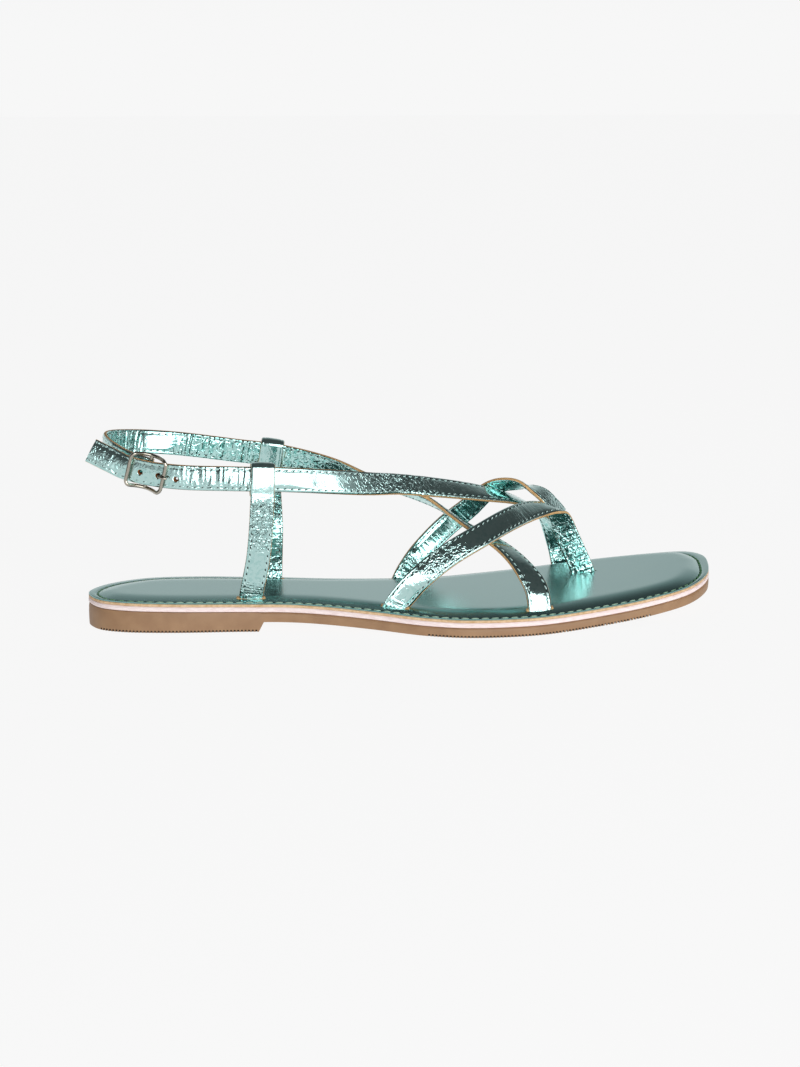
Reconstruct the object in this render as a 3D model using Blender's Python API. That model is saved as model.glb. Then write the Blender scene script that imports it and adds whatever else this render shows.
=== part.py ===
"""Flat toe post sandal for a right foot, standing empty on its sole.

Separate solids: outsole, midsole rand, insole board, padded insole, crossed straps,
two ankle stays, buckle frame and buckle prong. The toe points along +X, the outer
side of the foot lies on -Y and the floor is the plane Z = 0.
"""
import math

import bpy
import numpy as np

MM = 0.001

# Main sizes of the shoe in millimetres
LENGTH = 256.0
BALL_WIDTH = 84.0
HEEL_STEP = 3.9
SEAT_RISE = 1.1
BREAST = 69.0
BREAST_SLANT = 2.0
BALL_REAR = 150.0
BALL_FRONT = 168.0
TOE_SPRING = 8.2
SPRING_POWER = 1.9

# Layers of the sole, bottom to top, and the gap that parts neighbouring solids
RUBBER = 3.9
RAND = 1.75
BOARD = 0.7
RIM = 0.6
GAP = 0.3
EDGE_ROUND = 0.9
RIM_BAND = 4.5
RIM_BAND_OUTER = 1.5
PAD_ROLL = 8.0
PAD_DEPTHS = (0.0, 1.8, 4.4, 8.0)
# columns: station along the sole, height of the pad above its rim
PAD_HEIGHTS = (
    (0.0, 1.2),
    (60.0, 1.3),
    (100.0, 1.8),
    (170.0, 2.4),
    (215.0, 2.6),
    (256.0, 2.5),
)
SPINE_ENDS = (24.0, 228.0)
STATION_COUNT = 40

# Straps
STRAP_WIDTH = 9.6
STRAP_THICK = 1.8
STRAP_CROWN = 0.2
STRAP_CHAMFER = 0.45
STRAP_STEP = 4.6
SLOT_INSET = 4.2
HOLE_RADIUS = 1.1
HOLE_PITCH = 7.2
HOLE_COUNT = 3
STAY_WIDTH = 9.4
STAY_THICK = 1.4

# Buckle
WIRE_RADIUS = 0.75
PRONG_RADIUS = 0.55
BUCKLE_ALONG = 24.5
BUCKLE_HALF_LENGTH = 7.1
BUCKLE_CORNER = 2.2
BUCKLE_PLAY = 1.0
BUCKLE_TURN = 5.0
BUCKLE_RISE = 0.3
BUCKLE_BOW = 0.25
HOLE_FROM_BAR = 4.6

# Sole outline from the heel back along the outer side to the toe and home along the inner side
# columns: share of the length, share of the ball width across (outer side negative)
OUTLINE = (
    (0.000, -0.060),
    (0.018, -0.185),
    (0.055, -0.248),
    (0.130, -0.285),
    (0.234, -0.295),
    (0.332, -0.317),
    (0.438, -0.393),
    (0.516, -0.476),
    (0.598, -0.518),
    (0.684, -0.499),
    (0.781, -0.419),
    (0.879, -0.326),
    (0.941, -0.228),
    (0.980, -0.065),
    (0.998, 0.150),
    (1.000, 0.310),
    (0.981, 0.440),
    (0.930, 0.523),
    (0.852, 0.571),
    (0.773, 0.557),
    (0.684, 0.488),
    (0.586, 0.389),
    (0.477, 0.302),
    (0.371, 0.238),
    (0.281, 0.243),
    (0.176, 0.269),
    (0.090, 0.240),
    (0.034, 0.136),
    (0.007, 0.026),
)

# Strap routes over the last, a row for each bend
# columns: along, across, up of the strap middle, then the way its outer face looks
OUTER_FRONT = (
    (130.2, -29.0, 21.0, -0.20, -0.95, 0.25),
    (141.7, -26.8, 29.6, -0.15, -0.88, 0.40),
    (155.4, -21.6, 36.3, 0.10, -0.80, 0.55),
    (169.8, -7.0, 40.1, 0.42, -0.60, 0.66),
    (181.5, 7.0, 40.7, 0.35, -0.40, 0.85),
    (189.4, 13.6, 39.6, 0.35, 0.05, 0.94),
    (193.0, 16.6, 36.4, 0.45, 0.72, 0.50),
    (196.4, 17.3, 28.5, 0.22, 0.97, 0.09),
    (203.0, 17.2, 13.6, 0.16, 0.98, 0.07),
    (204.3, 17.1, 10.4, 0.16, 0.98, 0.07),
)
INNER_FRONT = (
    (135.3, 28.0, 17.4, -0.25, 0.96, -0.02),
    (147.0, 30.5, 29.0, -0.20, 0.97, -0.06),
    (157.0, 29.0, 37.6, -0.10, 0.94, 0.22),
    (163.5, 26.4, 44.2, -0.02, 0.80, 0.58),
    (169.0, 23.6, 47.9, 0.05, 0.68, 0.73),
    (176.0, 21.5, 48.5, 0.18, 0.50, 0.84),
    (182.7, 20.2, 46.5, 0.40, -0.16, 0.90),
    (187.2, 20.2, 43.9, 0.42, -0.46, 0.77),
    (190.8, 21.0, 40.4, 0.40, -0.55, 0.73),
    (193.6, 22.2, 36.9, 0.38, -0.60, 0.70),
    (195.4, 23.0, 34.4, 0.36, -0.62, 0.69),
)
OUTER_TOE = (
    (176.0, -34.6, 17.5, 0.22, -0.93, 0.28),
    (171.8, -29.4, 24.5, 0.36, -0.62, 0.70),
    (165.3, -20.2, 30.6, 0.44, -0.36, 0.82),
    (150.9, -7.4, 38.2, 0.50, 0.02, 0.86),
    (138.1, 4.2, 45.4, 0.40, 0.34, 0.84),
    (125.7, 9.0, 49.7, 0.30, 0.40, 0.87),
    (115.4, 13.4, 52.6, 0.25, 0.55, 0.80),
    (98.0, 20.5, 57.4, 0.15, 0.92, 0.35),
    (78.0, 26.6, 61.4, 0.05, 1.00, 0.10),
    (59.5, 27.2, 63.9, 0.00, 1.00, 0.05),
    (36.7, 25.0, 67.4, -0.20, 0.98, 0.00),
    (19.0, 17.4, 70.0, -0.60, 0.80, 0.00),
    (8.6, 4.5, 71.6, -1.00, 0.15, 0.00),
    (9.6, -9.0, 70.6, -0.80, -0.60, 0.00),
    (17.0, -16.8, 67.2, -0.45, -0.90, 0.00),
    (26.0, -20.2, 64.6, -0.22, -0.97, 0.00),
)
INNER_TOE = (
    (197.0, 42.6, 19.5, 0.25, 0.95, 0.20),
    (190.6, 35.0, 31.4, 0.60, 0.35, 0.72),
    (176.8, 24.4, 41.2, 0.50, 0.00, 0.87),
    (159.8, 15.5, 46.5, 0.24, -0.45, 0.86),
    (140.9, 6.2, 50.8, 0.25, -0.60, 0.74),
    (124.6, -2.4, 54.1, 0.30, -0.66, 0.68),
    (111.8, -11.4, 56.2, 0.32, -0.78, 0.52),
    (96.0, -19.5, 58.8, 0.22, -0.94, 0.26),
    (77.0, -27.2, 61.4, 0.05, -0.99, 0.14),
    (58.0, -28.8, 62.4, 0.00, -0.99, 0.12),
    (38.0, -27.0, 63.0, -0.12, -0.98, 0.10),
    (25.6, -24.2, 64.2, -0.22, -0.97, 0.02),
    (16.0, -21.6, 66.4, -0.24, -0.97, 0.06),
    (12.4, -20.6, 68.1, -0.24, -0.93, 0.30),
    (2.9, -18.2, 72.7, -0.24, -0.90, 0.38),
)

# Slots by which the straps enter the insole: station along the edge and side of the foot
SLOT_OUTER_FRONT = 117.4
SLOT_INNER_FRONT = 126.6
SLOT_OUTER_TOE = 178.0
SLOT_INNER_TOE = 198.4
SLOT_OUTER_STAY = 64.0
SLOT_INNER_STAY = 73.8
FRONT_LEAN = 1.6
FOOT_LEVEL = 9.0
OUTER_STAY_MIDDLE = (67.2, -26.6, 31.0, 0.00, -1.00, 0.00)
INNER_STAY_MIDDLE = (74.4, 23.4, 31.0, 0.00, 1.00, 0.00)
OUTER_LOOP_ALONG = 68.9
INNER_LOOP_ALONG = 74.8

# Colours as linear red, green and blue
TEAL_FOIL = (0.24, 0.52, 0.47)
TEAL_SOCK = (0.30, 0.45, 0.43)
TAN_LEATHER = (0.62, 0.42, 0.24)
PALE_RAND = (0.88, 0.77, 0.77)
BROWN_RUBBER = (0.36, 0.23, 0.14)
SILVER = (0.72, 0.72, 0.70)


def clear_scene():
    for item in list(bpy.data.objects):
        bpy.data.objects.remove(item, do_unlink=True)


def material(name, colour, roughness, metallic):
    made = bpy.data.materials.new(name)
    made.use_nodes = True
    shader = made.node_tree.nodes["Principled BSDF"]
    shader.inputs["Base Color"].default_value = (*colour, 1.0)
    shader.inputs["Roughness"].default_value = roughness
    shader.inputs["Metallic"].default_value = metallic
    return made


def catmull(points, closed, steps):
    """Centripetal curve through rows of numbers, sampled evenly between each pair of rows."""
    rows = np.asarray(points, float)
    count = len(rows)
    if closed:
        around = [rows[i % count] for i in range(-1, count + 2)]
    else:
        around = [2 * rows[0] - rows[1], *rows, 2 * rows[-1] - rows[-2]]
    samples = []
    for i in range(1, len(around) - 2):
        p0, p1, p2, p3 = around[i - 1:i + 3]
        k1 = np.linalg.norm((p1 - p0)[:3]) ** 0.5
        k2 = k1 + np.linalg.norm((p2 - p1)[:3]) ** 0.5
        k3 = k2 + np.linalg.norm((p3 - p2)[:3]) ** 0.5
        for t in np.linspace(k1, k2, steps, endpoint=False):
            a1 = p0 * (k1 - t) / k1 + p1 * t / k1
            a2 = p1 * (k2 - t) / (k2 - k1) + p2 * (t - k1) / (k2 - k1)
            a3 = p2 * (k3 - t) / (k3 - k2) + p3 * (t - k2) / (k3 - k2)
            b1 = a1 * (k2 - t) / k2 + a2 * t / k2
            b2 = a2 * (k3 - t) / (k3 - k1) + a3 * (t - k1) / (k3 - k1)
            samples.append(b1 * (k2 - t) / (k2 - k1) + b2 * (t - k1) / (k2 - k1))
    if not closed:
        samples.append(rows[-1])
    return np.array(samples)


def edge_curves():
    """Outer and inner edge of the sole as across-values over evenly rising stations."""
    rows = [(LENGTH * along, BALL_WIDTH * across) for along, across in OUTLINE]
    loop = catmull(rows, True, 60)
    back = int(np.argmin(loop[:, 0]))
    loop = np.roll(loop, -back, axis=0)
    tip = int(np.argmax(loop[:, 0]))
    outer = loop[:tip + 1]
    inner = np.vstack((loop[tip:], loop[:1]))[::-1]
    return outer, inner


OUTER_EDGE, INNER_EDGE = edge_curves()
BACK = OUTER_EDGE[0, 0]
TIP = OUTER_EDGE[-1, 0]
CENTRE_ALONG = (BACK + TIP) / 2
CENTRE_ACROSS = (OUTER_EDGE[:, 1].min() + INNER_EDGE[:, 1].max()) / 2


def stations():
    """Stations along the sole, closer at both ends, with a pair for the heel breast."""
    turn = np.linspace(0, math.pi, STATION_COUNT)
    even = BACK + (TIP - BACK) * (1 - np.cos(turn)) / 2
    breast = (BREAST - BREAST_SLANT, BREAST)
    kept = [x for x in even if min(abs(x - b) for b in breast) > 1.5]
    return np.sort(np.array(kept + list(breast)))


def edge_at(x):
    outer = np.interp(x, OUTER_EDGE[:, 0], OUTER_EDGE[:, 1])
    inner = np.interp(x, INNER_EDGE[:, 0], INNER_EDGE[:, 1])
    return outer, inner


def outline_loop():
    """Outline points, their inward directions and the spine point that each one faces."""
    along = stations()
    outer, inner = edge_at(along)
    loop = [(x, y) for x, y in zip(along, outer)]
    loop += [(x, y) for x, y in zip(along[-2:0:-1], inner[-2:0:-1])]
    loop = np.array(loop)
    ahead = np.roll(loop, -1, axis=0) - np.roll(loop, 1, axis=0)
    ahead /= np.linalg.norm(ahead, axis=1)[:, None]
    inward = np.column_stack((-ahead[:, 1], ahead[:, 0]))
    spine = []
    for x in loop[:, 0]:
        held = min(max(x, SPINE_ENDS[0]), SPINE_ENDS[1])
        spine.append((held, sum(edge_at(held)) / 2))
    return loop, inward, np.array(spine)


LOOP, INWARD, SPINE = outline_loop()


def ease(share):
    held = min(max(share, 0.0), 1.0)
    return held * held * (3 - 2 * held)


def forepart_lift(x):
    arch = HEEL_STEP * (1 - ease((x - BREAST) / (BALL_REAR - BREAST)))
    ahead = max(0.0, (x - BALL_FRONT) / (LENGTH - BALL_FRONT))
    return arch + TOE_SPRING * ahead ** SPRING_POWER


def sole_bottom(x):
    return 0.0 if x < BREAST - 0.01 else forepart_lift(x)


def sole_top(x):
    return forepart_lift(x) + RUBBER + SEAT_RISE * max(0.0, 1 - x / BREAST)


def rand_bottom(x):
    return sole_top(x) + GAP


def rand_top(x):
    return rand_bottom(x) + RAND


def board_bottom(x):
    return rand_top(x) + GAP


def board_top(x):
    return board_bottom(x) + BOARD


def insole_bottom(x):
    return board_top(x) + GAP


def rim_top(x):
    return insole_bottom(x) + RIM


def pad_top(x):
    return rim_top(x) + np.interp(x, *np.transpose(PAD_HEIGHTS))


def new_object(name, corners, faces, look):
    mesh = bpy.data.meshes.new(name)
    shift = np.array((CENTRE_ALONG, CENTRE_ACROSS, 0.0))
    placed = (np.asarray(corners, float) - shift) * MM
    mesh.from_pydata([tuple(p) for p in placed], [], [tuple(f) for f in faces])
    mesh.validate()
    mesh.update()
    for face in mesh.polygons:
        face.use_smooth = True
    mesh.set_sharp_from_angle(angle=math.radians(38))
    made = bpy.data.objects.new(name, mesh)
    bpy.context.scene.collection.objects.link(made)
    if look:
        mesh.materials.append(look)
    else:
        made.hide_render = True
        made.display_type = "WIRE"
    return made


def ring(inset, height, by_station=False):
    """A ring of the sole: outline moved inward, at a height that follows the station."""
    reach = np.linalg.norm(SPINE - LOOP, axis=1)
    rows = []
    for k, (point, inward) in enumerate(zip(LOOP, INWARD)):
        step = min(inset, 0.8 * reach[k])
        x, y = point + inward * step
        rows.append((x, y, height(point[0] if by_station else x)))
    return rows


def pad_ring(depth):
    """A ring of the pad: the inner edge of the rim moved toward the spine and raised by the roll."""
    rows = []
    roll = 1 - (1 - min(depth / PAD_ROLL, 1.0)) ** 2
    for point, inward, middle in zip(LOOP, INWARD, SPINE):
        band = RIM_BAND - (RIM_BAND - RIM_BAND_OUTER) * max(0.0, inward[1])
        seam = point + inward * band
        x, y = seam + (middle - seam) * min(depth / np.linalg.norm(middle - seam), 0.85)
        rows.append((x, y, rim_top(x) + roll * (pad_top(x) - rim_top(x))))
    return rows


def sole_layer(name, lower_rings, upper_rings, spine_low, spine_high, look):
    """Closed layer from rings listed from the lower middle outward and up to the upper middle."""
    rings = lower_rings + upper_rings
    count = len(LOOP)
    corners = []
    for rows in rings:
        corners.extend(rows)
    faces = []
    for level in range(len(rings) - 1):
        low = level * count
        high = low + count
        for k in range(count):
            after = (k + 1) % count
            faces.append((low + k, low + after, high + after, high + k))
    for first, height, upper in ((0, spine_low, False), ((len(rings) - 1) * count, spine_high, True)):
        known = {}
        middle = []
        for x, y in SPINE:
            if x not in known:
                known[x] = len(corners)
                corners.append((x, y, height(x)))
            middle.append(known[x])
        for k in range(count):
            after = (k + 1) % count
            face = [first + k, first + after, middle[after], middle[k]]
            if middle[after] == middle[k]:
                face.pop()
            faces.append(face if upper else face[::-1])
    return new_object(name, corners, faces, look)


def sweep(frames, section, look, name, closed=False):
    """Solid swept along frames of point, side and out directions."""
    count = len(section)
    corners = []
    for point, side, out in frames:
        for across, up in section:
            corners.append(point + side * across + out * up)
    faces = []
    last = len(frames) if closed else len(frames) - 1
    for i in range(last):
        low = i * count
        high = ((i + 1) % len(frames)) * count
        for k in range(count):
            after = (k + 1) % count
            faces.append((low + k, low + after, high + after, high + k))
    if not closed:
        faces.append(tuple(range(count))[::-1])
        faces.append(tuple(range((len(frames) - 1) * count, len(frames) * count)))
    return new_object(name, corners, faces, look)


def strap_section(width, thick, crown, spare=0.0):
    half = width / 2 + spare
    deep = thick / 2 + spare
    cut = STRAP_CHAMFER
    return (
        (-half, -deep + cut),
        (-half + cut, -deep),
        (half - cut, -deep),
        (half, -deep + cut),
        (half, deep - cut),
        (half - cut, deep),
        (half / 3, deep + crown),
        (-half / 3, deep + crown),
        (-half + cut, deep),
        (-half, deep - cut),
    )


def route_frames(rows, step=STRAP_STEP):
    """Frames along a strap route: the outer face follows the looks in its rows, the foot stays level."""
    fine = catmull(rows, False, 24)
    reach = np.concatenate(([0.0], np.cumsum(np.linalg.norm(np.diff(fine[:, :3], axis=0), axis=1))))
    count = max(2, int(round(reach[-1] / step)) + 1)
    marks = np.linspace(0, reach[-1], count)
    even = np.column_stack([np.interp(marks, reach, fine[:, c]) for c in range(6)])
    slope = np.gradient(fine[:, :3], reach, axis=0)
    heads = np.column_stack([np.interp(marks, reach, slope[:, c]) for c in range(3)])
    frames = []
    for mark, row, ahead in zip(marks, even, heads):
        level = ease(mark / FOOT_LEVEL)
        ahead = np.array((0.0, 0.0, 1.0)) * (1 - level) + ahead / np.linalg.norm(ahead) * level
        ahead /= np.linalg.norm(ahead)
        out = row[3:] - ahead * np.dot(row[3:], ahead)
        out /= np.linalg.norm(out)
        frames.append((row[:3], np.cross(out, ahead), out))
    return frames


def edge_foot(x, outer, lean=0.0):
    """Two rows that lead a strap up out of its slot beside the sole edge, leaning forward."""
    ahead = 2.0
    side = 0 if outer else 1
    here = np.array((x, edge_at(x)[side]))
    run = np.array((2 * ahead, edge_at(x + ahead)[side] - edge_at(x - ahead)[side]))
    run /= np.linalg.norm(run)
    inward = np.array((-run[1], run[0])) if outer else np.array((run[1], -run[0]))
    spot = here + inward * SLOT_INSET
    low = board_bottom(x) + 0.5
    looks = (-inward[0], -inward[1], 0.0)
    return [(*spot, low, *looks), (*(spot + run * lean), rim_top(x) + 1.2, *looks)]


def frame_at(rows, x):
    """Point, run, side and out directions of a strap where it passes the station x."""
    frames = route_frames(rows, 0.5)
    points = np.array([f[0] for f in frames])
    i = int(np.argmin(abs(points[:, 0] - x) + (points[:, 2] < 40) * 500))
    point, side, out = frames[i]
    return point, np.cross(side, out), side, out


def boolean(target, tool, kind):
    cut = target.modifiers.new(kind.lower(), "BOOLEAN")
    cut.operation = kind
    cut.solver = "EXACT"
    cut.object = tool


def round_section(radius, sides):
    turn = np.linspace(0, 2 * math.pi, sides, endpoint=False)
    return [(radius * math.cos(a), radius * math.sin(a)) for a in turn]


def rod(points, radius, sides, look, name):
    """Round wire through points, with end caps."""
    points = np.asarray(points, float)
    frames = []
    for i, point in enumerate(points):
        ahead = points[min(i + 1, len(points) - 1)] - points[max(i - 1, 0)]
        ahead /= np.linalg.norm(ahead)
        helper = np.array((0.12, 0.31, 0.94))
        side = np.cross(helper, ahead)
        side /= np.linalg.norm(side)
        frames.append((point, np.cross(ahead, side), side))
    frames = [(p, b, a) for p, a, b in frames]
    return sweep(frames, round_section(radius, sides), look, name)


def rounded_loop(half_a, half_b, corner, per_corner, step):
    """Closed rounded rectangle in the plane as points and outward directions."""
    rows = []
    middles = ((1, 1, 0), (-1, 1, 90), (-1, -1, 180), (1, -1, 270))
    for sign_a, sign_b, start in middles:
        for turn in np.linspace(start, start + 90, per_corner):
            a = math.cos(math.radians(turn))
            b = math.sin(math.radians(turn))
            rows.append((sign_a * (half_a - corner) + corner * a, sign_b * (half_b - corner) + corner * b, a, b))
    filled = []
    for here, after in zip(rows, rows[1:] + rows[:1]):
        pieces = max(1, round(math.dist(here[:2], after[:2]) / step))
        filled += [tuple(np.add(here, np.subtract(after, here) * k / pieces)) for k in range(pieces)]
    return filled


def cut_slot(frames, section, name):
    """Slot through insole and board along the first stretch of a strap, begun a little below it."""
    used = frames[:4]
    point, side, out = used[0]
    ahead = used[1][0] - point
    begun = (point - ahead / np.linalg.norm(ahead) * 3.0, side, out)
    if np.dot(np.cross(side, out), ahead) < 0:
        section = section[::-1]
    cutter = sweep([begun, *used], section, None, name + "_slot")
    boolean(insole, cutter, "DIFFERENCE")
    boolean(board, cutter, "DIFFERENCE")


clear_scene()
teal_foil = material("teal foil leather", TEAL_FOIL, 0.30, 0.85)
teal_sock = material("teal padded sock", TEAL_SOCK, 0.38, 0.60)
tan_leather = material("tan board", TAN_LEATHER, 0.60, 0.0)
pale_rand = material("pale rand", PALE_RAND, 0.55, 0.0)
brown_rubber = material("brown rubber", BROWN_RUBBER, 0.62, 0.0)
silver = material("silver metal", SILVER, 0.22, 1.0)

# Sole layers
sole_layer(
    "outsole",
    [ring(EDGE_ROUND, sole_bottom, True)],
    [ring(0.0, lambda x: sole_bottom(x) + EDGE_ROUND, True), ring(0.0, sole_top)],
    sole_bottom,
    sole_top,
    brown_rubber,
)
sole_layer("midsole_rand", [ring(0.0, rand_bottom)], [ring(0.0, rand_top)], rand_bottom, rand_top, pale_rand)
board = sole_layer(
    "insole_board", [ring(0.0, board_bottom)], [ring(0.0, board_top)], board_bottom, board_top, tan_leather
)
pad_rings = [ring(0.0, rim_top)] + [pad_ring(depth) for depth in PAD_DEPTHS]
insole = sole_layer("insole", [ring(0.0, insole_bottom)], pad_rings, insole_bottom, pad_top, teal_sock)

# Straps, each from its slot, joined into one upper where they cross
routes = {
    "outer_front": edge_foot(SLOT_OUTER_FRONT, True, FRONT_LEAN) + list(OUTER_FRONT),
    "inner_front": edge_foot(SLOT_INNER_FRONT, False, FRONT_LEAN) + list(INNER_FRONT),
    "outer_toe": edge_foot(SLOT_OUTER_TOE, True) + list(OUTER_TOE),
    "inner_toe": edge_foot(SLOT_INNER_TOE, False) + list(INNER_TOE),
}
section = strap_section(STRAP_WIDTH, STRAP_THICK, STRAP_CROWN)
upper = sweep(route_frames(routes["outer_toe"]), section, teal_foil, "upper_straps")
for key in ("inner_toe", "outer_front", "inner_front"):
    boolean(upper, sweep(route_frames(routes[key]), section, None, key + "_strap"), "UNION")

# Holes punched through the strap that the buckle holds
bar_point, bar_run, bar_side, bar_out = frame_at(routes["inner_toe"], BUCKLE_ALONG)
if bar_run[0] < 0:
    bar_run = -bar_run
for k in range(HOLE_COUNT):
    reach = HOLE_FROM_BAR + (k - 1) * HOLE_PITCH
    middle = bar_point + bar_run * reach
    punch = rod([middle - bar_out * 2.0, middle + bar_out * 2.6], HOLE_RADIUS, 12, None, "punch_%d" % k)
    boolean(upper, punch, "DIFFERENCE")

# Stays: a leg out of its slot and a loop folded round the ankle strap
for name, slot, outer, middle, key, along in (
    ("outer_stay", SLOT_OUTER_STAY, True, OUTER_STAY_MIDDLE, "inner_toe", OUTER_LOOP_ALONG),
    ("inner_stay", SLOT_INNER_STAY, False, INNER_STAY_MIDDLE, "outer_toe", INNER_LOOP_ALONG),
):
    point, run, side, out = frame_at(routes[key], along)
    up = side if side[2] > 0 else -side
    wall_out = STRAP_THICK / 2 + STRAP_CROWN / 2 + GAP + STAY_THICK / 2
    wall_up = STRAP_WIDTH / 2 + GAP + STAY_THICK / 2
    loop_middle = point + out * STRAP_CROWN / 2
    ahead = np.cross(out, up)
    frames = []
    for a, b, look_a, look_b in rounded_loop(wall_out, wall_up, 1.2, 4, 9.0):
        frames.append((loop_middle + out * a + up * b, ahead, out * look_a + up * look_b))
    face = strap_section(STAY_WIDTH, STAY_THICK, 0.0)
    made = sweep(frames, face, teal_foil, name, True)
    top = loop_middle + out * wall_out
    low_top = top - up * (wall_up + 2.0)
    leg = edge_foot(slot, outer) + [middle, (*low_top, *out), (*(top - up * 2.0), *out)]
    boolean(made, sweep(route_frames(leg), face, None, name + "_leg"), "UNION")
    cut_slot(route_frames(leg), strap_section(STAY_WIDTH, STAY_THICK, 0.0, GAP), name)

# Slots for the four edge ends and the toe post
wide = strap_section(STRAP_WIDTH, STRAP_THICK, STRAP_CROWN, GAP)
for key in routes:
    cut_slot(route_frames(routes[key]), wide, key)
cut_slot(route_frames(routes["outer_front"])[::-1], wide, "toe_post")

# Buckle frame bowed so that its end bars pass over the strap and its middle bar under it; it hangs
# turned a little on the strap
lift = STRAP_THICK / 2 + STRAP_CROWN + GAP + WIRE_RADIUS
frames = []
rail = STRAP_WIDTH / 2 + BUCKLE_PLAY + WIRE_RADIUS
turn = math.radians(BUCKLE_TURN if bar_side[2] > 0 else -BUCKLE_TURN)
wire_run = bar_run * math.cos(turn) - bar_side * math.sin(turn)
wire_side = bar_side * math.cos(turn) + bar_run * math.sin(turn)
wire_middle = bar_point + bar_side * math.copysign(BUCKLE_RISE, bar_side[2])
for a, b, look_a, look_b in rounded_loop(BUCKLE_HALF_LENGTH, rail, BUCKLE_CORNER, 6, 1.6):
    bow = (2 * lift + BUCKLE_BOW) * min(1.0, abs(a) / (BUCKLE_HALF_LENGTH - 1.0)) ** 2 - lift
    outward = wire_run * look_a + wire_side * look_b
    frames.append((wire_middle + wire_run * a + wire_side * b + bar_out * bow, outward, bar_out))
buckle = sweep(frames, round_section(WIRE_RADIUS, 8), silver, "buckle_frame", True)
bar_ends = [wire_middle - bar_out * lift + wire_side * rail * sign for sign in (-1, 1)]
boolean(buckle, rod(bar_ends, WIRE_RADIUS, 8, None, "middle_bar"), "UNION")

# Prong from beside the middle bar, up through a hole and over the front bar
# columns: along the strap from the middle bar, height above the strap middle
PRONG = (
    (1.9, -2.05),
    (3.6, -1.95),
    (4.4, -1.25),
    (4.6, 0.0),
    (4.8, 1.25),
    (5.6, 2.9),
    (7.2, 4.1),
    (8.9, 3.85),
)
prong_path = [bar_point + bar_run * along + bar_out * up for along, up in catmull(PRONG, False, 3)]
rod(prong_path, PRONG_RADIUS, 8, silver, "buckle_prong")
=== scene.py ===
import math
import bpy
import numpy as np
from mathutils.bvhtree import BVHTree
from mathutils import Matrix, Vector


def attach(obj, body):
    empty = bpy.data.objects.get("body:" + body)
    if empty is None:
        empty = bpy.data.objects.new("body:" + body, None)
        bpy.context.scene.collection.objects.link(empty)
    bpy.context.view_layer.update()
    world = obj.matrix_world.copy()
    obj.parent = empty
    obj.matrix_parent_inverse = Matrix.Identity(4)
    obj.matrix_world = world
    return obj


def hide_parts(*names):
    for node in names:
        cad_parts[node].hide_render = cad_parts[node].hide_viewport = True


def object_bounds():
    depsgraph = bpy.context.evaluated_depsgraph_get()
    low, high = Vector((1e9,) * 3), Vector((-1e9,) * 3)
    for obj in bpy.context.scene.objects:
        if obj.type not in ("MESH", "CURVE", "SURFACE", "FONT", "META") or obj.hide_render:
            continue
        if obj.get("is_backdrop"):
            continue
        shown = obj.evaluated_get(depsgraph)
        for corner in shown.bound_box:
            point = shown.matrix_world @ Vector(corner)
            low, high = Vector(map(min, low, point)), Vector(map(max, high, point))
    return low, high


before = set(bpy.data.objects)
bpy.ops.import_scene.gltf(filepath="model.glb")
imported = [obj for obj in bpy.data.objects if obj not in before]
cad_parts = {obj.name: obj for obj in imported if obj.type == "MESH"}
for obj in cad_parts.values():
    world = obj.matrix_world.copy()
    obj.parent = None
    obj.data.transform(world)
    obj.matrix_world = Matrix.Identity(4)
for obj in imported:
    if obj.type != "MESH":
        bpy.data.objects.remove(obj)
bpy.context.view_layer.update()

# Outsole: one moulded unit of tan rubber with a low heel block, a slanted breast, an arch and a
# sprung toe. It is cemented under the midsole. Fine cross grooves are moulded under heel and
# forepart; their ends show as a row of notches along the lower edge, their walls painted dark as shade.
MM = 0.001
LENGTH = 256.0
BALL_WIDTH = 84.0
HEEL_STEP = 3.9
SEAT_RISE = 1.1
BREAST = 69.0
BREAST_SLANT = 2.0
BALL_REAR = 150.0
BALL_FRONT = 168.0
TOE_SPRING = 8.2
SPRING_POWER = 1.9
RUBBER = 3.9
LOWER_EDGE = 0.35
GROOVE_PITCH = 1.42
GROOVE_WIDTH = 0.72
GROOVE_DEPTH = 0.95
NOTCH_REACH = 0.8
GROOVE_INSET = 2.0
GROOVE_ZONES = ((5.0, 66.0), (133.0, 223.0))
STATION_COUNT = 170
SPINE_ENDS = (24.0, 228.0)
# columns: share of the length, share of the ball width across (outer side negative)
OUTLINE = (
    (0.000, -0.060),
    (0.018, -0.185),
    (0.055, -0.248),
    (0.130, -0.285),
    (0.234, -0.295),
    (0.332, -0.317),
    (0.438, -0.393),
    (0.516, -0.476),
    (0.598, -0.518),
    (0.684, -0.499),
    (0.781, -0.419),
    (0.879, -0.326),
    (0.941, -0.228),
    (0.980, -0.065),
    (0.998, 0.150),
    (1.000, 0.310),
    (0.981, 0.440),
    (0.930, 0.523),
    (0.852, 0.571),
    (0.773, 0.557),
    (0.684, 0.488),
    (0.586, 0.389),
    (0.477, 0.302),
    (0.371, 0.238),
    (0.281, 0.243),
    (0.176, 0.269),
    (0.090, 0.240),
    (0.034, 0.136),
    (0.007, 0.026),
)


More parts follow.
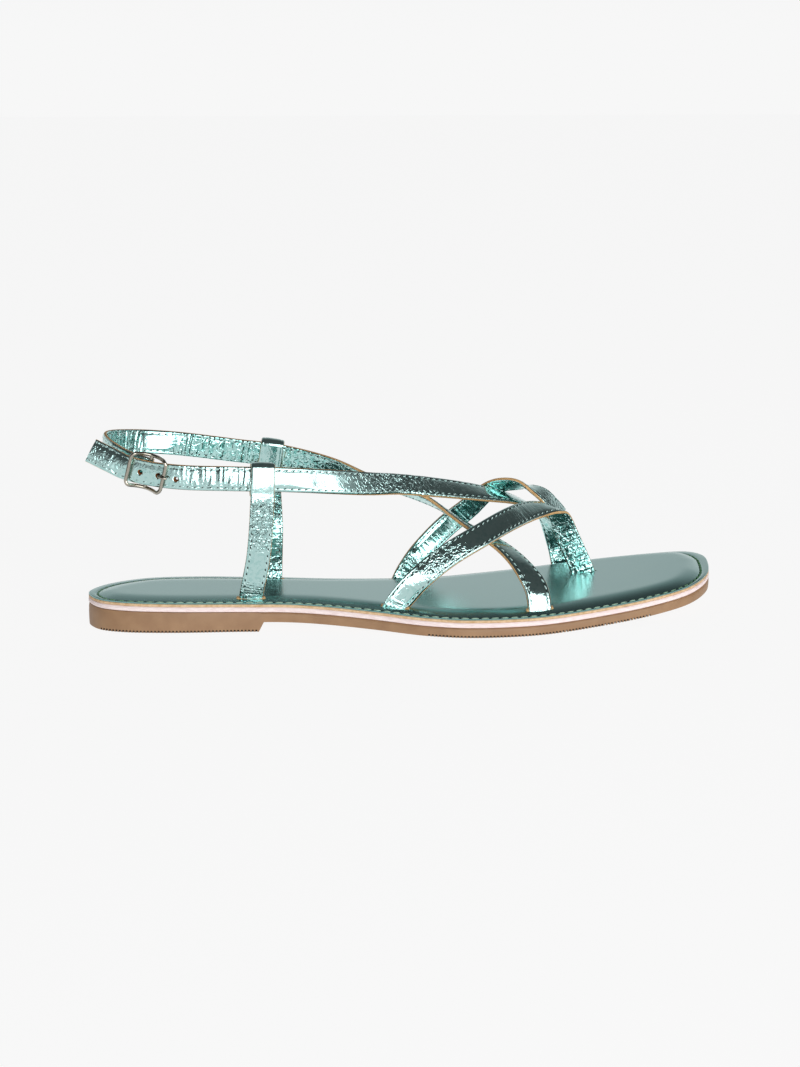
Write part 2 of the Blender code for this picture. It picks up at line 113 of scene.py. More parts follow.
def smooth_curve(points, closed, steps):
    """Centripetal curve through rows of numbers, sampled evenly between each pair of rows."""
    rows = np.asarray(points, float)
    count = len(rows)
    if closed:
        around = [rows[i % count] for i in range(-1, count + 2)]
    else:
        around = [2 * rows[0] - rows[1], *rows, 2 * rows[-1] - rows[-2]]
    samples = []
    for i in range(1, len(around) - 2):
        p0, p1, p2, p3 = around[i - 1:i + 3]
        k1 = np.linalg.norm((p1 - p0)[:3]) ** 0.5
        k2 = k1 + np.linalg.norm((p2 - p1)[:3]) ** 0.5
        k3 = k2 + np.linalg.norm((p3 - p2)[:3]) ** 0.5
        for t in np.linspace(k1, k2, steps, endpoint=False):
            a1 = p0 * (k1 - t) / k1 + p1 * t / k1
            a2 = p1 * (k2 - t) / (k2 - k1) + p2 * (t - k1) / (k2 - k1)
            a3 = p2 * (k3 - t) / (k3 - k2) + p3 * (t - k2) / (k3 - k2)
            b1 = a1 * (k2 - t) / k2 + a2 * t / k2
            b2 = a2 * (k3 - t) / (k3 - k1) + a3 * (t - k1) / (k3 - k1)
            samples.append(b1 * (k2 - t) / (k2 - k1) + b2 * (t - k1) / (k2 - k1))
    if not closed:
        samples.append(rows[-1])
    return np.array(samples)


sole_edge = smooth_curve([(LENGTH * a, BALL_WIDTH * b) for a, b in OUTLINE], True, 60)
sole_edge = np.roll(sole_edge, -int(np.argmin(sole_edge[:, 0])), axis=0)
tip = int(np.argmax(sole_edge[:, 0]))
OUTER_EDGE = sole_edge[:tip + 1]
INNER_EDGE = np.vstack((sole_edge[tip:], sole_edge[:1]))[::-1]
BACK = OUTER_EDGE[0, 0]
TIP = OUTER_EDGE[-1, 0]
CENTRE = np.array(((BACK + TIP) / 2, (OUTER_EDGE[:, 1].min() + INNER_EDGE[:, 1].max()) / 2, 0.0))


def edge_at(x):
    """Outer and inner edge of the sole at the station x."""
    return np.interp(x, *OUTER_EDGE.T), np.interp(x, *INNER_EDGE.T)


def ease(share):
    held = np.clip(share, 0.0, 1.0)
    return held * held * (3 - 2 * held)


def forepart_lift(x):
    arch = HEEL_STEP * (1 - ease((x - BREAST) / (BALL_REAR - BREAST)))
    ahead = max(0.0, (x - BALL_FRONT) / (LENGTH - BALL_FRONT))
    return arch + TOE_SPRING * ahead ** SPRING_POWER


def ground_line(x):
    return 0.0 if x < BREAST - 0.01 else forepart_lift(x)


def rubber_top(x):
    return forepart_lift(x) + RUBBER + SEAT_RISE * max(0.0, 1 - x / BREAST)


even = BACK + (TIP - BACK) * (1 - np.cos(np.linspace(0, math.pi, STATION_COUNT))) / 2
breast = (BREAST - BREAST_SLANT, BREAST)
even = np.sort(np.array([x for x in even if min(abs(x - b) for b in breast) > 0.6] + list(breast)))
outer_run, inner_run = edge_at(even)
LOOP = np.vstack((np.column_stack((even, outer_run)), np.column_stack((even, inner_run))[-2:0:-1]))
loop_run = np.roll(LOOP, -1, axis=0) - np.roll(LOOP, 1, axis=0)
loop_run /= np.linalg.norm(loop_run, axis=1)[:, None]
INWARD = np.column_stack((-loop_run[:, 1], loop_run[:, 0]))
held = np.clip(LOOP[:, 0], *SPINE_ENDS)
SPINE = np.column_stack((held, np.mean(edge_at(held), axis=0)))
REACH = np.linalg.norm(SPINE - LOOP, axis=1)


def ring(inset, height, by_station=False):
    """A ring of the sole: the outline moved inward, at a height that follows the station."""
    flat = LOOP + INWARD * np.minimum(inset, 0.8 * REACH)[:, None]
    lead = LOOP if by_station else flat
    return [(x, y, height(k)) for (x, y), k in zip(flat, lead[:, 0])]


def make_piece(name, corners, faces, looks, face_looks=None, sharp=48):
    """Object at the origin from corners in millimetres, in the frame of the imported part."""
    mesh = bpy.data.meshes.new(name)
    placed = (np.asarray(corners, float) - CENTRE) * MM
    mesh.from_pydata([tuple(p) for p in placed], [], [tuple(f) for f in faces])
    for look in looks:
        mesh.materials.append(look)
    if face_looks is not None:
        mesh.polygons.foreach_set("material_index", face_looks)
    mesh.polygons.foreach_set("use_smooth", [True] * len(mesh.polygons))
    mesh.set_sharp_from_angle(angle=math.radians(sharp))
    mesh.update()
    made = bpy.data.objects.new(name, mesh)
    bpy.context.scene.collection.objects.link(made)
    return made


def band(low, high, count):
    """Faces between two rings of corners that start at low and at high."""
    return [(low + k, low + (k + 1) % count, high + (k + 1) % count, high + k) for k in range(count)]


def sole_layer(name, rings, low, high, look):
    """Closed layer from rings listed upward, shut by a strip to the middle line below and above."""
    count = len(LOOP)
    corners = [row for rows in rings for row in rows]
    faces = []
    for level in range(len(rings) - 1):
        faces += band(level * count, (level + 1) * count, count)
    for first, height, upper in ((0, low, False), ((len(rings) - 1) * count, high, True)):
        known = {}
        middle = []
        for x, y in SPINE:
            if x not in known:
                known[x] = len(corners)
                corners.append((x, y, height(x)))
            middle.append(known[x])
        for k in range(count):
            b = (k + 1) % count
            face = [first + k, first + b, middle[b], middle[k]]
            if middle[b] == middle[k]:
                face.pop()
            faces.append(face if upper else face[::-1])
    return make_piece(name, corners, faces, [look])


def linear(hex_colour):
    """sRGB hex value as linear red, green, blue and full alpha."""
    parts = [int(hex_colour[i:i + 2], 16) / 255 for i in (1, 3, 5)]
    return tuple(c / 12.92 if c <= 0.04045 else ((c + 0.055) / 1.055) ** 2.4 for c in parts) + (1.0,)


def add_node(tree, kind, values=None, links=None, **settings):
    """A node with its settings, socket values and links; a node in a link gives its first output."""
    made = tree.nodes.new(kind)
    for key, value in settings.items():
        setattr(made, key, value)
    for key, value in (values or {}).items():
        made.inputs[key].default_value = value
    for key, source in (links or {}).items():
        tree.links.new(getattr(source, "outputs", [source])[0], made.inputs[key])
    return made


def new_material(name, **values):
    """A material with one Principled shader; values are set on the shader's own sockets."""
    made = bpy.data.materials.new(name)
    made.use_nodes = True
    shader = made.node_tree.nodes["Principled BSDF"]
    for key, value in values.items():
        shader.inputs[key.replace("_", " ").title().replace("Ior", "IOR")].default_value = value
    return made, made.node_tree, shader


def mottled(name, size, stops=(), detail=2.0, relief=None, grain=None, gloss=None, **values):
    """Material clouded at a real size: colour between stops, gloss in a range, relief of cloud or grain.

    Sizes and the depth of the relief are millimetres; a size may differ along the three axes."""
    made, tree, shader = new_material(name, **values)
    place = add_node(tree, "ShaderNodeTexCoord").outputs["Object"]
    clouds = []
    for wide, fine in ((size, detail), (grain, 2.0)):
        if wide is not None:
            scale = [1 / (s * MM) for s in np.broadcast_to(wide, 3)]
            drawn = add_node(tree, "ShaderNodeMapping", {"Scale": scale}, {"Vector": place})
            clouds.append(add_node(tree, "ShaderNodeTexNoise", {"Scale": 1.0, "Detail": fine},
                                   {"Vector": drawn}).outputs["Fac"])
    if stops:
        tone = add_node(tree, "ShaderNodeValToRGB", None, {"Fac": clouds[0]})
        for stop, (spot, colour) in zip(tone.color_ramp.elements, stops):
            stop.position = spot
            stop.color = linear(colour)
        tree.links.new(tone.outputs["Color"], shader.inputs["Base Color"])
    if gloss:
        rough = add_node(tree, "ShaderNodeMapRange", {"To Min": gloss[0], "To Max": gloss[1]},
                         {"Value": clouds[0]})
        tree.links.new(rough.outputs["Result"], shader.inputs["Roughness"])
    if relief:
        strength, deep = relief
        bump = add_node(tree, "ShaderNodeBump", {"Strength": strength, "Distance": deep * MM},
                        {"Height": clouds[-1]})
        tree.links.new(bump.outputs["Normal"], shader.inputs["Normal"])
    return made


# Moulded rubber: dull, faintly mottled at about 7 mm, with a fine mould grain
rubber = mottled("moulded tan rubber", 7.0, ((0.3, "#926f4f"), (0.7, "#a07d5b")), 3.0, (0.25, 0.1), 0.6,
                 roughness=0.52, ior=1.52)

rings = []
for turn in (0, 22, 45, 68, 90):
    back = LOWER_EDGE * (1 - math.sin(math.radians(turn)))
    rise = LOWER_EDGE * (1 - math.cos(math.radians(turn)))
    rings.append(ring(back, lambda x, r=rise: ground_line(x) + r, True))
for share, swell in ((0.3, 0.08), (0.6, 0.1), (0.85, 0.02)):
    rings.append(ring(-swell, lambda x, s=share: ground_line(x) + LOWER_EDGE
                      + s * (rubber_top(x) - ground_line(x) - LOWER_EDGE), True))
rings.append(ring(0.2, lambda x: rubber_top(x) - 0.15, True))
rings.append(ring(0.6, rubber_top, True))
outsole = sole_layer("rubber_outsole", rings, ground_line, rubber_top, rubber)


def settle(made, step):
    """Keeps what a modifier makes as a plain mesh and removes the modifier."""
    seen = made.evaluated_get(bpy.context.evaluated_depsgraph_get())
    plain = bpy.data.meshes.new_from_object(seen)
    made.modifiers.remove(step)
    made.data = plain


def node_piece(name, points, runs, facts, build, sizes, look):
    """Runs Geometry Nodes over open runs of points and keeps the result as a plain mesh."""
    mesh = bpy.data.meshes.new(name)
    placed = (np.asarray(points, float) - CENTRE) * MM
    edges = [(i, i + 1) for first, last in runs for i in range(first, last)]
    mesh.from_pydata([tuple(p) for p in placed], edges, [])
    for key, (kind, values) in facts.items():
        field = mesh.attributes.new(key, kind, "POINT")
        part = "vector" if kind == "FLOAT_VECTOR" else "value"
        field.data.foreach_set(part, np.ravel(values).astype(float))
    made = bpy.data.objects.new(name, mesh)
    bpy.context.scene.collection.objects.link(made)
    group = bpy.data.node_groups.new(name + "_nodes", "GeometryNodeTree")
    group.interface.new_socket("Geometry", in_out="INPUT", socket_type="NodeSocketGeometry")
    for key in sizes:
        group.interface.new_socket(key, in_out="INPUT", socket_type="NodeSocketFloat")
    group.interface.new_socket("Look", in_out="INPUT", socket_type="NodeSocketMaterial")
    group.interface.new_socket("Geometry", in_out="OUTPUT", socket_type="NodeSocketGeometry")
    given = add_node(group, "NodeGroupInput").outputs
    spread = build(group, given)
    real = add_node(group, "GeometryNodeRealizeInstances", None, {"Geometry": spread})
    dressed = add_node(group, "GeometryNodeSetMaterial", None,
                       {"Geometry": real, "Material": given["Look"]})
    add_node(group, "NodeGroupOutput", None, {"Geometry": dressed})
    step = made.modifiers.new("nodes", "NODES")
    step.node_group = group
    for item in group.interface.items_tree:
        if item.in_out == "INPUT" and item.name in sizes:
            step[item.identifier] = sizes[item.name]
        if item.in_out == "INPUT" and item.name == "Look":
            step[item.identifier] = look
    settle(made, step)
    made.data.name = name
    return made


def turn_along(group):
    """Rotation that lays the first axis along the path."""
    ahead = add_node(group, "GeometryNodeInputTangent")
    return add_node(group, "FunctionNodeAlignRotationToVector", None, {"Vector": ahead}, axis="X")


def spread_along(group, given, shape, turn, size):
    """Copies of a shape at every pitch of the path, each turned and sized."""
    path = add_node(group, "GeometryNodeMeshToCurve", None, {"Mesh": given["Geometry"]})
    marks = add_node(group, "GeometryNodeResampleCurve", None, {"Curve": path, "Length": given["Pitch"]},
                     mode="LENGTH")
    return add_node(group, "GeometryNodeInstanceOnPoints", None,
                    {"Points": marks, "Instance": shape, "Rotation": turn, "Scale": size})


def build_grooves(group, given):
    """Bars across the path, as long as the span at each mark."""
    span = add_node(group, "GeometryNodeInputNamedAttribute", {"Name": "span"}, data_type="FLOAT")
    size = add_node(group, "ShaderNodeCombineXYZ", None,
                    {"X": given["Width"], "Y": span, "Z": given["Height"]})
    bar = add_node(group, "GeometryNodeMeshCube", {"Size": (1.0, 1.0, 1.0)})
    return spread_along(group, given, bar, turn_along(group), size)


def carve(made, cutter):
    """Cuts one object out of another, keeps the result as a plain mesh and removes the cutter."""
    cut = made.modifiers.new("cut", "BOOLEAN")
    cut.operation = "DIFFERENCE"
    cut.solver = "EXACT"
    cut.use_self = True
    cut.material_mode = "TRANSFER"
    cut.object = cutter
    settle(made, cut)
    bpy.data.objects.remove(cutter, do_unlink=True)


# Groove walls: the same rubber painted near-black, as painted shade inside the grooves and notches
groove_shade_rubber = mottled("groove rubber painted in shade", 2.0, ((0.0, "#120c08"), (1.0, "#2a1e15")),
                        roughness=0.9, ior=1.45)

points = []
runs = []
spans = []
for rear, front in GROOVE_ZONES:
    for row in ("outer", "middle", "inner"):
        first = len(points)
        for x in np.linspace(rear, front, 80):
            outer, inner = edge_at(x)
            across = {"outer": outer, "middle": (outer + inner) / 2, "inner": inner}[row]
            points.append((x, across, ground_line(x)))
            spans.append((inner - outer - 2 * GROOVE_INSET if row == "middle" else 2 * NOTCH_REACH) * MM)
        runs.append((first, len(points) - 1))
sizes = {"Pitch": GROOVE_PITCH * MM, "Width": GROOVE_WIDTH * MM, "Height": 2 * GROOVE_DEPTH * MM}
grooves = node_piece("tread_grooves", points, runs, {"span": ("FLOAT", spans)}, build_grooves, sizes,
                     groove_shade_rubber)
carve(outsole, grooves)
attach(outsole, "root")
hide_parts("outsole")

# Midsole rand: a pale pink strip of rough-cut fibre between rubber and board, wrapped round the
# whole edge and cemented. Its face is dull and slightly fibrous.
GAP = 0.3
RAND = 1.75
# The dressed layers fill most of the gap between the solids
RAND_SEAT = 0.06
RAND_FILL = 0.1
LAYER_SLIT = 0.02


def rand_bottom(x):
    return rubber_top(x) + RAND_SEAT


def rand_top(x):
    return rubber_top(x) + GAP + RAND + RAND_FILL


# Fibre strip: matt, with streaks about 3 mm long along the edge and short fibre relief
fibre = mottled("pale fibre strip", (3.0, 3.0, 0.6), ((0.3, "#e8d3d1"), (0.62, "#f5e6e4")), 3.0, (0.4, 0.2),
                roughness=0.72, ior=1.45)

rings = [ring(0.6, rand_bottom), ring(0.2, lambda x: rand_bottom(x) + 0.14)]
rings += [ring(-swell, lambda x, s=share: rand_bottom(x) + s * (rand_top(x) - rand_bottom(x)))
          for share, swell in ((0.3, 0.1), (0.55, 0.14), (0.8, 0.06))]
rings += [ring(0.05, lambda x: rand_top(x) - 0.12), ring(0.25, rand_top)]
rand = sole_layer("midsole_strip", rings, rand_bottom, rand_top, fibre)
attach(rand, "root")
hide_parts("midsole_rand")

# Insole board: vegetable-tanned leather board that shows as a thin tan line above the rand.
# Its cut edge is trimmed flush and left raw.
BOARD = 0.7
BOARD_FILL = 0.22


def board_bottom(x):
    return rand_top(x) + LAYER_SLIT


def board_top(x):
    return rubber_top(x) + GAP + RAND + GAP + BOARD + BOARD_FILL


def raw_leather(name, dark, pale):
    """Cut leather: matt, with darker fibre streaks about 1.5 mm long."""
    return mottled(name, 1.5, ((0.3, dark), (0.65, pale)), 3.0, (0.4, 0.12), roughness=0.68, ior=1.45)


# The board edge is pale and dry
board_edge = raw_leather("raw board edge", "#c39e74", "#dfc09a")
rings = [ring(0.2, board_bottom), ring(0.0, lambda x: board_bottom(x) + 0.15),
         ring(0.0, lambda x: board_top(x) - 0.15), ring(0.2, board_top)]
board = sole_layer("leather_board", rings, board_bottom, board_top, board_edge)
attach(board, "root")
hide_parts("insole_board")

# Insole: foam-padded sock of teal foil leather. A flat rim runs round the edge, a seam holds the
# cover down 4.5 mm in, closer on the outer side, and the pad rolls up from it to a low dome.
RIM = 0.6
RIM_BAND = 4.5
RIM_BAND_OUTER = 1.0
PAD_ROLL = 8.0
PAD_DEPTHS = (0.2, 0.5, 0.9, 1.4, 2.0, 2.7, 3.5, 4.4, 5.4, 6.6, 8.0, 10.5)
SEAM_DEPTH = 0.35
SEAM_BACK = 0.35
# columns: station along the sole, height of the pad above its rim
PAD_HEIGHTS = (
    (0.0, 1.2),
    (60.0, 1.3),
    (100.0, 1.8),
    (170.0, 2.4),
    (215.0, 2.6),
    (256.0, 2.5),
)
BAND = RIM_BAND - (RIM_BAND - RIM_BAND_OUTER) * np.maximum(0.0, INWARD[:, 1])


def cover_bottom(x):
    return board_top(x) + LAYER_SLIT


def rim_top(x):
    return rubber_top(x) + 3 * GAP + RAND + BOARD + RIM


def pad_top(x):
    return rim_top(x) + np.interp(x, *np.transpose(PAD_HEIGHTS))


def pad_ring(depth):
    """A ring of the pad: the seam moved a distance toward the middle line and raised by the roll."""
    seam = LOOP + INWARD * BAND[:, None]
    across = SPINE - seam
    share = np.minimum(depth / np.linalg.norm(across, axis=1), 0.9)
    roll = 1 - (1 - min(depth / PAD_ROLL, 1.0)) ** 2
    return [(x, y, rim_top(x) + roll * (pad_top(x) - rim_top(x))) for x, y in seam + across * share[:, None]]


# Foil on smooth leather: a satin metal skin that mirrors the straps softly, a little uneven
sock_foil = mottled("teal satin foil sock", 20.0, ((0.3, "#84aeac"), (0.7, "#8cb4b1")), 4.0, (0.12, 0.1), 1.2,
                    (0.20, 0.27), metallic=1.0, ior=1.5)

rings = [ring(0.35, cover_bottom), ring(0.05, lambda x: cover_bottom(x) + 0.1),
         ring(0.0, lambda x: rim_top(x) - 0.25), ring(0.14, lambda x: rim_top(x) - 0.08), ring(0.4, rim_top)]
rings += [ring(BAND - out, lambda x, r=rise: rim_top(x) + r)
          for out, rise in ((2.0, 0.08), (1.1, 0.05), (0.7, -0.12), (SEAM_BACK, -SEAM_DEPTH), (0.0, -0.08))]
rings += [pad_ring(depth) for depth in PAD_DEPTHS]
insole = sole_layer("padded_insole", rings, cover_bottom, pad_top, sock_foil)
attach(insole, "root")
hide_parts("insole")

# Insole seam: one row of thick mint-green lockstitch all round, sunk in the groove between the
# flat rim and the pad. It holds the cover to the board.
SEAM_PITCH = 3.9
SEAM_STITCH = 3.2
SEAM_THREAD = 1.05
SEAM_HEIGHT = 0.65
SEAM_SLANT = 0.14


def build_stitches(group, given):
    """Beads along the path, slanted, with their tops to the side named out."""
    out = add_node(group, "GeometryNodeInputNamedAttribute", {"Name": "out"}, data_type="FLOAT_VECTOR")
    turn = add_node(group, "FunctionNodeAlignRotationToVector", None,
                    {"Rotation": turn_along(group), "Vector": out}, axis="Z", pivot_axis="X")
    lean = add_node(group, "FunctionNodeAxisAngleToRotation", {"Axis": (0.0, 0.0, 1.0)},
                    {"Angle": given["Slant"]})
    slant = add_node(group, "FunctionNodeRotateRotation", None, {"Rotation": turn, "Rotate By": lean},
                     rotation_space="LOCAL")
    size = add_node(group, "ShaderNodeCombineXYZ", None,
                    {"X": given["Length"], "Y": given["Thread"], "Z": given["Height"]})
    bead = add_node(group, "GeometryNodeMeshUVSphere", {"Segments": 8, "Rings": 5, "Radius": 0.5})
    round_bead = add_node(group, "GeometryNodeSetShadeSmooth", None, {"Geometry": bead})
    return spread_along(group, given, round_bead, slant, size)


# Waxed polyester thread: matt with a soft sheen, twisted too fine to show
seam_thread, tree, shader = new_material("mint green thread", roughness=0.6, ior=1.5)
place = add_node(tree, "ShaderNodeTexCoord").outputs["Object"]
parts = add_node(tree, "ShaderNodeSeparateXYZ", None, {"Vector": place})
along = add_node(tree, "ShaderNodeMapRange", {"From Min": -LENGTH / 2 * MM, "From Max": LENGTH / 2 * MM},
                 {"Value": parts.outputs["X"]})
# Painted shade: the thread is painted darker towards the heel and toe ends of the seam and pale mint along
# the middle
tone = add_node(tree, "ShaderNodeValToRGB", None, {"Fac": along})
tone.color_ramp.elements[0].position = 0.05
tone.color_ramp.elements[0].color = linear("#6f9f7c")
tone.color_ramp.elements[1].position = 0.95
tone.color_ramp.elements[1].color = linear("#4f8a5c")
for spot in (0.14, 0.86):
    tone.color_ramp.elements.new(spot).color = linear("#b9dcc4")
tree.links.new(tone.outputs["Color"], shader.inputs["Base Color"])

seam = ring(BAND - SEAM_BACK, lambda x: rim_top(x) - 0.05)
seam.append(seam[0])
up = np.tile((0.0, 0.0, 1.0), (len(seam), 1))
sizes = {"Pitch": SEAM_PITCH * MM, "Length": SEAM_STITCH * MM, "Thread": SEAM_THREAD * MM,
         "Height": SEAM_HEIGHT * MM, "Slant": SEAM_SLANT}
insole_seam = node_piece("insole_seam", seam, [(0, len(seam) - 1)], {"out": ("FLOAT_VECTOR", up)},
                         build_stitches, sizes, seam_thread)
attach(insole_seam, "root")

# Straps: four 9.6 mm straps of teal foil leather, lined with the same foil and cut with raw tan
# edges. Each comes out of a slot in the insole; they cross over the foot and are stitched there.
STRAP_WIDTH = 9.6
STRAP_THICK = 1.8
STRAP_CROWN = 0.2
STITCH_INSET = 1.25
SLOT_INSET = 4.2
STRAP_STEP = 0.6
# columns: along, across, up of the strap middle, then the way its outer face looks
OUTER_FRONT = (
    (130.2, -29.0, 21.0, -0.20, -0.95, 0.25),
    (141.7, -26.8, 29.6, -0.15, -0.88, 0.40),
    (155.4, -21.6, 36.3, 0.10, -0.80, 0.55),
    (169.8, -7.0, 40.1, 0.42, -0.60, 0.66),
    (181.5, 7.0, 40.7, 0.35, -0.40, 0.85),
    (189.4, 13.6, 39.6, 0.35, 0.05, 0.94),
    (193.0, 16.6, 36.4, 0.45, 0.72, 0.50),
    (196.4, 17.3, 28.5, 0.22, 0.97, 0.09),
    (203.0, 17.2, 13.6, 0.16, 0.98, 0.07),
    (204.3, 17.1, 10.4, 0.16, 0.98, 0.07),
)
INNER_FRONT = (
    (135.3, 28.0, 17.4, -0.25, 0.96, -0.02),
    (147.0, 30.5, 29.0, -0.20, 0.97, -0.06),
    (157.0, 29.0, 37.6, -0.10, 0.94, 0.22),
    (163.5, 26.4, 44.2, -0.02, 0.80, 0.58),
    (169.0, 23.6, 47.9, 0.05, 0.68, 0.73),
    (176.0, 21.5, 48.5, 0.18, 0.50, 0.84),
    (182.7, 20.2, 46.5, 0.40, -0.16, 0.90),
    (187.2, 20.2, 43.9, 0.42, -0.46, 0.77),
    (190.8, 21.0, 40.4, 0.40, -0.55, 0.73),
    (193.6, 22.2, 36.9, 0.38, -0.60, 0.70),
    (195.4, 23.0, 34.4, 0.36, -0.62, 0.69),
)
OUTER_TOE = (
    (176.0, -34.6, 17.5, 0.22, -0.93, 0.28),
    (171.8, -29.4, 24.5, 0.36, -0.62, 0.70),
    (165.3, -20.2, 30.6, 0.44, -0.36, 0.82),
    (150.9, -7.4, 38.2, 0.50, 0.02, 0.86),
    (138.1, 4.2, 45.4, 0.40, 0.34, 0.84),
    (125.7, 9.0, 49.7, 0.30, 0.40, 0.87),
    (115.4, 13.4, 52.6, 0.25, 0.55, 0.80),
    (98.0, 20.5, 57.4, 0.15, 0.92, 0.35),
    (78.0, 26.6, 61.4, 0.05, 1.00, 0.10),
    (59.5, 27.2, 63.9, 0.00, 1.00, 0.05),
    (36.7, 25.0, 67.4, -0.20, 0.98, 0.00),
    (19.0, 17.4, 70.0, -0.60, 0.80, 0.00),
    (8.6, 4.5, 71.6, -1.00, 0.15, 0.00),
    (9.6, -9.0, 70.6, -0.80, -0.60, 0.00),
    (17.0, -16.8, 67.2, -0.45, -0.90, 0.00),
    (26.0, -20.2, 64.6, -0.22, -0.97, 0.00),
)
INNER_TOE = (
    (197.0, 42.6, 19.5, 0.25, 0.95, 0.20),
    (190.6, 35.0, 31.4, 0.60, 0.35, 0.72),
    (176.8, 24.4, 41.2, 0.50, 0.00, 0.87),
    (159.8, 15.5, 46.5, 0.24, -0.45, 0.86),
    (140.9, 6.2, 50.8, 0.25, -0.60, 0.74),
    (124.6, -2.4, 54.1, 0.30, -0.66, 0.68),
    (111.8, -11.4, 56.2, 0.32, -0.78, 0.52),
    (96.0, -19.5, 58.8, 0.22, -0.94, 0.26),
    (77.0, -27.2, 61.4, 0.05, -0.99, 0.14),
    (58.0, -28.8, 62.4, 0.00, -0.99, 0.12),
    (38.0, -27.0, 63.0, -0.12, -0.98, 0.10),
    (25.6, -24.2, 64.2, -0.22, -0.97, 0.02),
    (16.0, -21.6, 66.4, -0.24, -0.97, 0.06),
    (12.4, -20.6, 68.1, -0.24, -0.93, 0.30),
    (2.9, -18.2, 72.7, -0.24, -0.90, 0.38),
)
SLOTS = {"outer_front": 117.4, "inner_front": 126.6, "outer_toe": 178.0, "inner_toe": 198.4}
FRONT_LEAN = 1.6
FOOT_LEVEL = 9.0
# Crackle of the foil by distance from the slot
# columns: millimetres from the slot, cross wrinkles, fine grain
CRACKLE = {
    "outer_front": ((0, 1.0, 0.6), (5, 0.8, 0.4), (9, 0.15, 0.05), (17, 0.15, 0.08), (23, 0.4, 0.7),
                    (34, 0.4, 0.75), (42, 0.1, 0.1), (60, 0.15, 0.08), (70, 0.3, 0.15), (85, 0.2, 0.1),
                    (95, 0.1, 0.1), (102, 0.6, 0.5), (131, 0.7, 0.5)),
    "inner_front": ((0, 1.0, 0.5), (9, 0.9, 0.4), (15, 0.2, 0.02), (34, 0.22, 0.02), (39, 0.8, 0.08),
                    (47, 0.9, 0.1), (51, 0.15, 0.03), (58, 0.08, 0.02), (64, 0.08, 0.08), (78, 0.05, 0.08),
                    (84, 0.15, 0.5), (93, 0.2, 0.5)),
    "outer_toe": ((0, 0.4, 0.5), (4, 0.2, 0.25), (7, 0.05, 0.05), (12, 0.05, 0.05), (16, 0.1, 0.4),
                  (20, 0.06, 0.15), (24, 0.03, 0.05), (60, 0.05, 0.08), (94, 0.5, 0.35), (128, 0.7, 0.35),
                  (146, 1.7, 0.25), (181, 1.8, 0.25), (186, 0.06, 0.03), (197, 0.06, 0.03), (200, 1.3, 0.2),
                  (212, 1.2, 0.25), (220, 0.15, 0.3), (251, 0.15, 0.3)),
    "inner_toe": ((0, 0.4, 0.4), (30, 0.2, 0.2), (60, 0.05, 0.08), (74, 0.04, 0.1), (88, 0.08, 0.3),
                  (98, 0.2, 0.7), (112, 0.2, 0.75), (124, 0.1, 0.4), (132, 0.02, 0.08), (140, 0.0, 0.03),
                  (164, 0.0, 0.03), (170, 0.2, 0.1), (175, 1.2, 0.15), (186, 1.5, 0.2), (197, 1.4, 0.2),
                  (201, 0.5, 0.15), (204, 0.15, 0.08), (214, 0.1, 0.08), (219, 0.1, 0.12), (240, 0.1, 0.14)),
}
# Faces rolled a little in the relief of the foil: the lining where the ankle strap rounds the heel,
# both front straps near the foot and the ankle strap ahead of the outer stay
# columns: millimetres from the slot, slope across
ROLL = {
    "outer_toe": ((182, 0.0), (187, -0.18), (197, -0.18), (201, 0.0)),
    "outer_front": ((0, 0.5), (13, 0.5), (21, 0.0)),
    "inner_front": ((13, 0.0), (17, 0.22), (34, 0.22), (39, 0.0)),
    "inner_toe": ((96, 0.0), (110, 0.3), (125, 0.27), (137, 0.1), (150, 0.0)),
}
# A strap bent round the ankle hollows between its seams
# columns: millimetres from the slot, depth
HOLLOWS = {"inner_toe": ((94, 0.0), (104, 0.35), (148, 0.35), (160, 0.0))}
# Soft creases pressed in where a strap bends
# columns: millimetres from the slot, lean along per millimetre across, half width, depth
CREASES = {
    "outer_front": ((7, 0.2, 1.2, 0.10), (24, -0.3, 1.0, 0.12), (29, 0.1, 0.9, 0.14), (33, -0.2, 1.1, 0.12),
                    (66, 0.1, 1.4, 0.08), (78, -0.1, 1.6, 0.08)),
    "inner_front": ((14, 0.3, 1.0, 0.10), (46, -0.2, 1.0, 0.12), (52, 0.2, 1.1, 0.12), (86, 0.2, 1.0, 0.12)),
    "outer_toe": ((15, 0.4, 1.0, 0.12), (62, -0.2, 1.6, 0.08), (152, 0.1, 0.9, 0.14),
                  (160, -0.1, 0.9, 0.16), (168, 0.15, 1.0, 0.14), (177, -0.1, 0.9, 0.14),
                  (203, 0.2, 1.0, 0.14)),
    "inner_toe": ((76, 0.5, 1.4, 0.08), (97, -0.3, 0.9, 0.12), (106, 0.2, 0.9, 0.12),
                  (178, 0.05, 0.9, 0.14), (184, -0.1, 0.8, 0.16), (189, 0.1, 0.9, 0.16),
                  (195, -0.05, 0.8, 0.14), (222, 0.2, 1.0, 0.14)),
}
# What a strap without rolls or hollows has
NO_ROWS = ((0, 0.0),)


